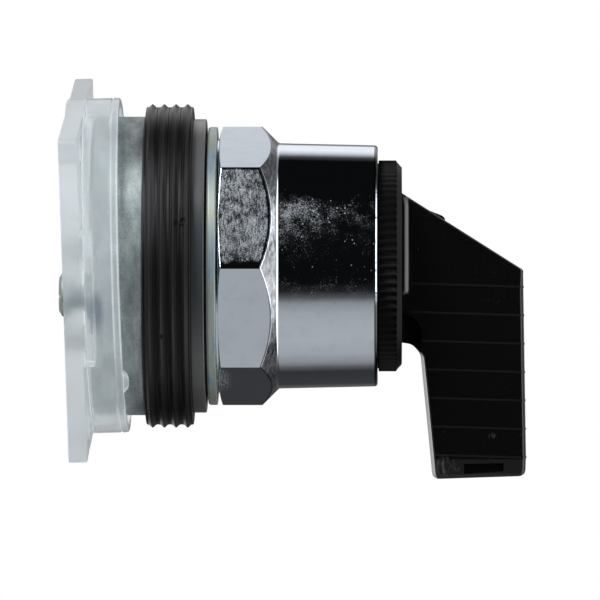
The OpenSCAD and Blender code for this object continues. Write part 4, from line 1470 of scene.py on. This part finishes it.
def adaptor_mesh():
    thick, length, width = PLATE
    low, high = (-thick, -length / 2, -width / 2), (0.0, length / 2, width / 2)
    mesh = rounded_box(low, high, PLATE_CORNER, PLATE_BEVEL)
    for added in (cup_mesh(), pad_mesh(-1), pad_mesh(1), nub_mesh(0), nub_mesh(1)):
        mesh = cut(mesh, added, "UNION")
    for y in (-HOLE_AT, HOLE_AT):
        for z in (-HOLE_AT, HOLE_AT):
            bore = cylinder((-thick - HOLE_PAST[0], y, z), (HOLE_PAST[1], y, z), HOLE_R)
            mesh = cut(mesh, bore, "DIFFERENCE")
    mesh.transform(tilt)
    turn = Matrix.Rotation(SCREW_TURN, 3, "X")
    for end in (-1, 1):
        screw = turn @ Vector((0, end * SCREW_AT, 0))
        rod = turn @ Vector((0, 0, end * ROD_AT))
        for at, (start, stop, radius) in ((screw, SCREW_HOLE), (screw, SCREW_SINK), (rod, ROD_HOLE)):
            bore = cylinder((ADAPTOR_X + start, at.y, at.z), (ADAPTOR_X + stop, at.y, at.z), radius)
            mesh = cut(mesh, bore, "DIFFERENCE")
    return smooth(mesh, ADAPTOR_CRISP)


place("adaptor_moulded", adaptor_mesh(), "milky_nylon", "operator", "contact_adaptor")

# %% [markdown]
# What the finer pieces don't replace stays as the CAD made it, with a better material. The record says
# which finish each node has.

# %% Finishes on the carried-over nodes
slot_of = {row["node"]: row["material_slot"] for row in frame["record"]["subparts"]}
for name, obj in nodes.items():
    obj.data.materials.clear()
    obj.data.materials.append(finishes[slot_of[name]])
print("finished", len(nodes), "CAD nodes")

# %% [markdown]
# The camera looks square at the side of the switch through a long lens. One pixel of the 600 pixel
# frame is about 0.137 mm at the axis.

# %% Camera
PIXELS_PER_MM = 7.3
FRAME_PIXELS = 600
VIEW_DISTANCE = 1000.0
VIEW_YAW = math.radians(-0.61)
AIM = Vector((20.96, 0.0, -4.67))
SENSOR = 36.0
CLIP_FROM = 0.01
camera_data = bpy.data.cameras.new("camera")
camera_data.sensor_width = SENSOR
camera_data.lens = PIXELS_PER_MM * VIEW_DISTANCE * SENSOR / FRAME_PIXELS
camera_data.clip_start = CLIP_FROM
camera = linked("camera", camera_data)
backwards = Vector((-math.sin(VIEW_YAW), -math.cos(VIEW_YAW), 0.0))
camera.location = (AIM + backwards * VIEW_DISTANCE) * MM
camera.rotation_mode = "QUATERNION"
camera.rotation_quaternion = (-backwards).to_track_quat("-Z", "Y")
bpy.context.scene.camera = camera
print("lens", round(camera_data.lens, 1))

# %% [markdown]
# Chrome shows the room, so the room is built: a dome around the switch that only mirrors see. Around
# the axis it is dark towards the camera and overhead, grey below and bright above and behind. Towards
# the front of the switch stands a broad light that draws the thin bright edges. Sides are degrees
# towards the front of the switch, and turns are degrees about its axis from the camera.

# %% How bright the studio is
AROUND_GLOW = [
    (-180, 0.12), (-165, 0.12), (-150, 0.05), (-119, 0.04), (-112, 0.12), (-104, 0.31), (-94, 0.43),
    (-75, 0.5), (-58, 0.49), (-45, 0.44), (-36, 0.32), (-30, 0.1), (-24, 0.018), (-16, 0.004),
    (118, 0.004), (125, 0.07), (130, 0.45), (134, 0.78), (141, 1.08), (157, 1.0), (163, 0.2), (180, 0.12)]
BEHIND_LIGHT = 0.3
BEHIND_TURNS = ((112, 124), (150, 160))
BEHIND_SIDES = (16, 30)
STRIP_LIGHT = 1.2
STRIP_TURNS = (160, 172)
STRIP_SIDES = (6, 9)
FACING_TURNS = ((-125, -95), (96, 122))
FRONT_LIGHT = 2.4
FRONT_SHADE = 0.28
FRONT_SIDES = (28, 42)
FRONT_MIDDLE = 0.4
MIDDLE_SIDES = (66, 84)
REAR_LIGHT = 0.5
REAR_SHADE = 0.1
REAR_SIDES = (40, 60)


def fade(value, low, high):
    """Zero below low, one above high, and smooth between."""
    share = clamped((value - low) / (high - low))
    return share * share * (3 - 2 * share)


def blend(first, second, share):
    return first + (second - first) * share


def between(stops, place_at):
    """The value at a place in a list of (place, value) stops."""
    for (a, first), (b, second) in zip(stops, stops[1:]):
        if place_at <= b:
            return blend(first, second, (place_at - a) / (b - a))
    return stops[-1][1]


def glow(side, turn):
    """Brightness of the dome in one direction."""
    behind = fade(turn, *BEHIND_TURNS[0]) + fade(-turn, *BEHIND_TURNS[1])
    around = blend(between(AROUND_GLOW, turn), BEHIND_LIGHT, behind * fade(abs(side), *BEHIND_SIDES))
    around = blend(around, STRIP_LIGHT, fade(abs(turn), *STRIP_TURNS) * fade(-side, *STRIP_SIDES))
    facing = fade(turn, *FACING_TURNS[0]) * (1 - fade(turn, *FACING_TURNS[1]))
    front = blend(FRONT_SHADE, FRONT_LIGHT, facing)
    front = blend(front, FRONT_MIDDLE, fade(side, *MIDDLE_SIDES))
    rear = blend(REAR_SHADE, REAR_LIGHT, facing)
    return blend(blend(around, front, fade(side, *FRONT_SIDES)), rear, fade(-side, *REAR_SIDES))


print("brightness behind the camera:", round(glow(0, 0), 3))

# %% [markdown]
# The dome is a ball of quads. Its brightness is stored on its points as a colour attribute, which an
# emission shader reads, so the room needs no picture. Lamps could stand for the room too, but chrome
# would mirror their outlines.

# %% Studio dome
DOME_R = 2.0
DOME_MIDDLE = Vector((0.02, 0, 0))
DOME_STEP = 2


def dome_mesh():
    sides = range(-90, 91, DOME_STEP)
    turns = range(-180, 180, DOME_STEP)
    verts = []
    levels = []
    for side in sides:
        for turn in turns:
            s, t = math.radians(side), math.radians(turn)
            away = Vector((math.sin(s), -math.cos(s) * math.cos(t), math.cos(s) * math.sin(t)))
            verts.append(DOME_MIDDLE + away * DOME_R)
            levels.append(glow(side, turn))
    mesh = mesh_of("dome", verts, quads(len(sides) - 1, len(sides), len(turns)))
    layer = mesh.color_attributes.new("glow", "FLOAT_COLOR", "POINT")
    for point, level in zip(layer.data, levels):
        point.color = (level, level, level, 1)
    return mesh


def dome_finish():
    material = bpy.data.materials.new("dome glow")
    material.use_nodes = True
    material.node_tree.nodes.clear()
    web = Web(material.node_tree)
    level = web.node("ShaderNodeAttribute", {"attribute_name": "glow"}, out="Color")
    light = web.node("ShaderNodeEmission", None, {"Color": level})
    end = material.node_tree.nodes.new("ShaderNodeOutputMaterial")
    material.node_tree.links.new(light.socket, end.inputs["Surface"])
    material.cycles.emission_sampling = "NONE"
    return material


dome = linked("dome", dome_mesh())
dome.data.materials.append(dome_finish())
dome.visible_camera = False
dome.visible_diffuse = False
dome.visible_transmission = False
dome.visible_shadow = False
print("dome has", len(dome.data.polygons), "faces")

# %% [markdown]
# Two soft lamps light the dull surfaces. The key stands high on the rear side, where the polished bezel
# can't mirror it but the frosted chrome and the casting can. The fill is softer and hidden from
# mirrors.

# %% Lamps
KEY = {"elevation": 48, "azimuth": -34, "distance": 0.7, "size": 0.25, "power": 3.0}
FILL = {"elevation": 20, "azimuth": 25, "distance": 0.8, "size": 0.4, "power": 1.2}


def area_lamp(name, elevation, azimuth, distance, size, power):
    """A soft lamp aimed at the switch. Azimuth is from the camera's side towards the switch's front."""
    data = bpy.data.lights.new(name, "AREA")
    data.size = size
    data.energy = power
    obj = linked(name, data)
    up, side = math.radians(elevation), math.radians(azimuth)
    away = Vector((math.cos(up) * math.sin(side), -math.cos(up) * math.cos(side), math.sin(up)))
    obj.location = DOME_MIDDLE + away * distance
    obj.rotation_mode = "QUATERNION"
    obj.rotation_quaternion = (-away).to_track_quat("-Z", "Y")
    return obj


area_lamp("key", **KEY)
fill = area_lamp("fill", **FILL)
fill.visible_glossy = False
print("lamps:", len(bpy.data.lights))

# %% [markdown]
# The surround is white to the camera, to mirrors and through the nylon, and dim as light. A brighter
# backdrop would wash out the dark pieces. The Light Path node tells the kinds of ray apart, so one
# world can be both.

# %% Surround
AMBIENT = 0.4
SEEN_BY = ("Is Camera Ray", "Is Glossy Ray", "Is Transmission Ray")
world = bpy.data.worlds.new("surround")
bpy.context.scene.world = world
world.use_nodes = True
world.node_tree.nodes.clear()
surround = Web(world.node_tree)
path = surround.node("ShaderNodeLightPath").socket.node
camera_ray, glossy_ray, passing_ray = [Val(surround, path.outputs[ray]) for ray in SEEN_BY]
seen = (camera_ray + glossy_ray + passing_ray).math("MINIMUM", 1.0)
strength = seen * (1 - AMBIENT) + AMBIENT
sky = surround.node("ShaderNodeBackground", None, {"Color": (1, 1, 1, 1), "Strength": strength})
sky_end = world.node_tree.nodes.new("ShaderNodeOutputWorld")
world.node_tree.links.new(sky.socket, sky_end.inputs["Surface"])
print("surround lights at", AMBIENT)

# %% [markdown]
# A round sheet of pale paper lies well below the switch. The camera's own view doesn't reach it, but
# views from above do. Mirrors and bounced light don't see it, so it changes nothing on the switch.

# %% Floor
FLOOR_Z = -0.12
FLOOR_R = 0.35
FLOOR_SIDES = 96
PAPER_GRAIN = 0.05
PAPER_TONES = ((0.84, 0.84, 0.84), (0.88, 0.88, 0.88))


def floor_mesh():
    bm = bmesh.new()
    bmesh.ops.create_circle(bm, cap_ends=True, segments=FLOOR_SIDES, radius=FLOOR_R)
    bmesh.ops.translate(bm, vec=DOME_MIDDLE + Vector((0, 0, FLOOR_Z)), verts=bm.verts)
    return ended(bm, "floor")


floor = linked("floor", floor_mesh())
paper = Finish("pale paper", roughness=0.9)
paper.feed("Base Color", paper.mix(paper.noise(PAPER_GRAIN), *PAPER_TONES))
floor.data.materials.append(paper.material)
floor.visible_glossy = False
floor.visible_diffuse = False
print("floor radius", FLOOR_R, "m")

# %% [markdown]
# The last cell sets plain colour management.

# %% Finish
bpy.context.scene.view_settings.view_transform = "Standard"
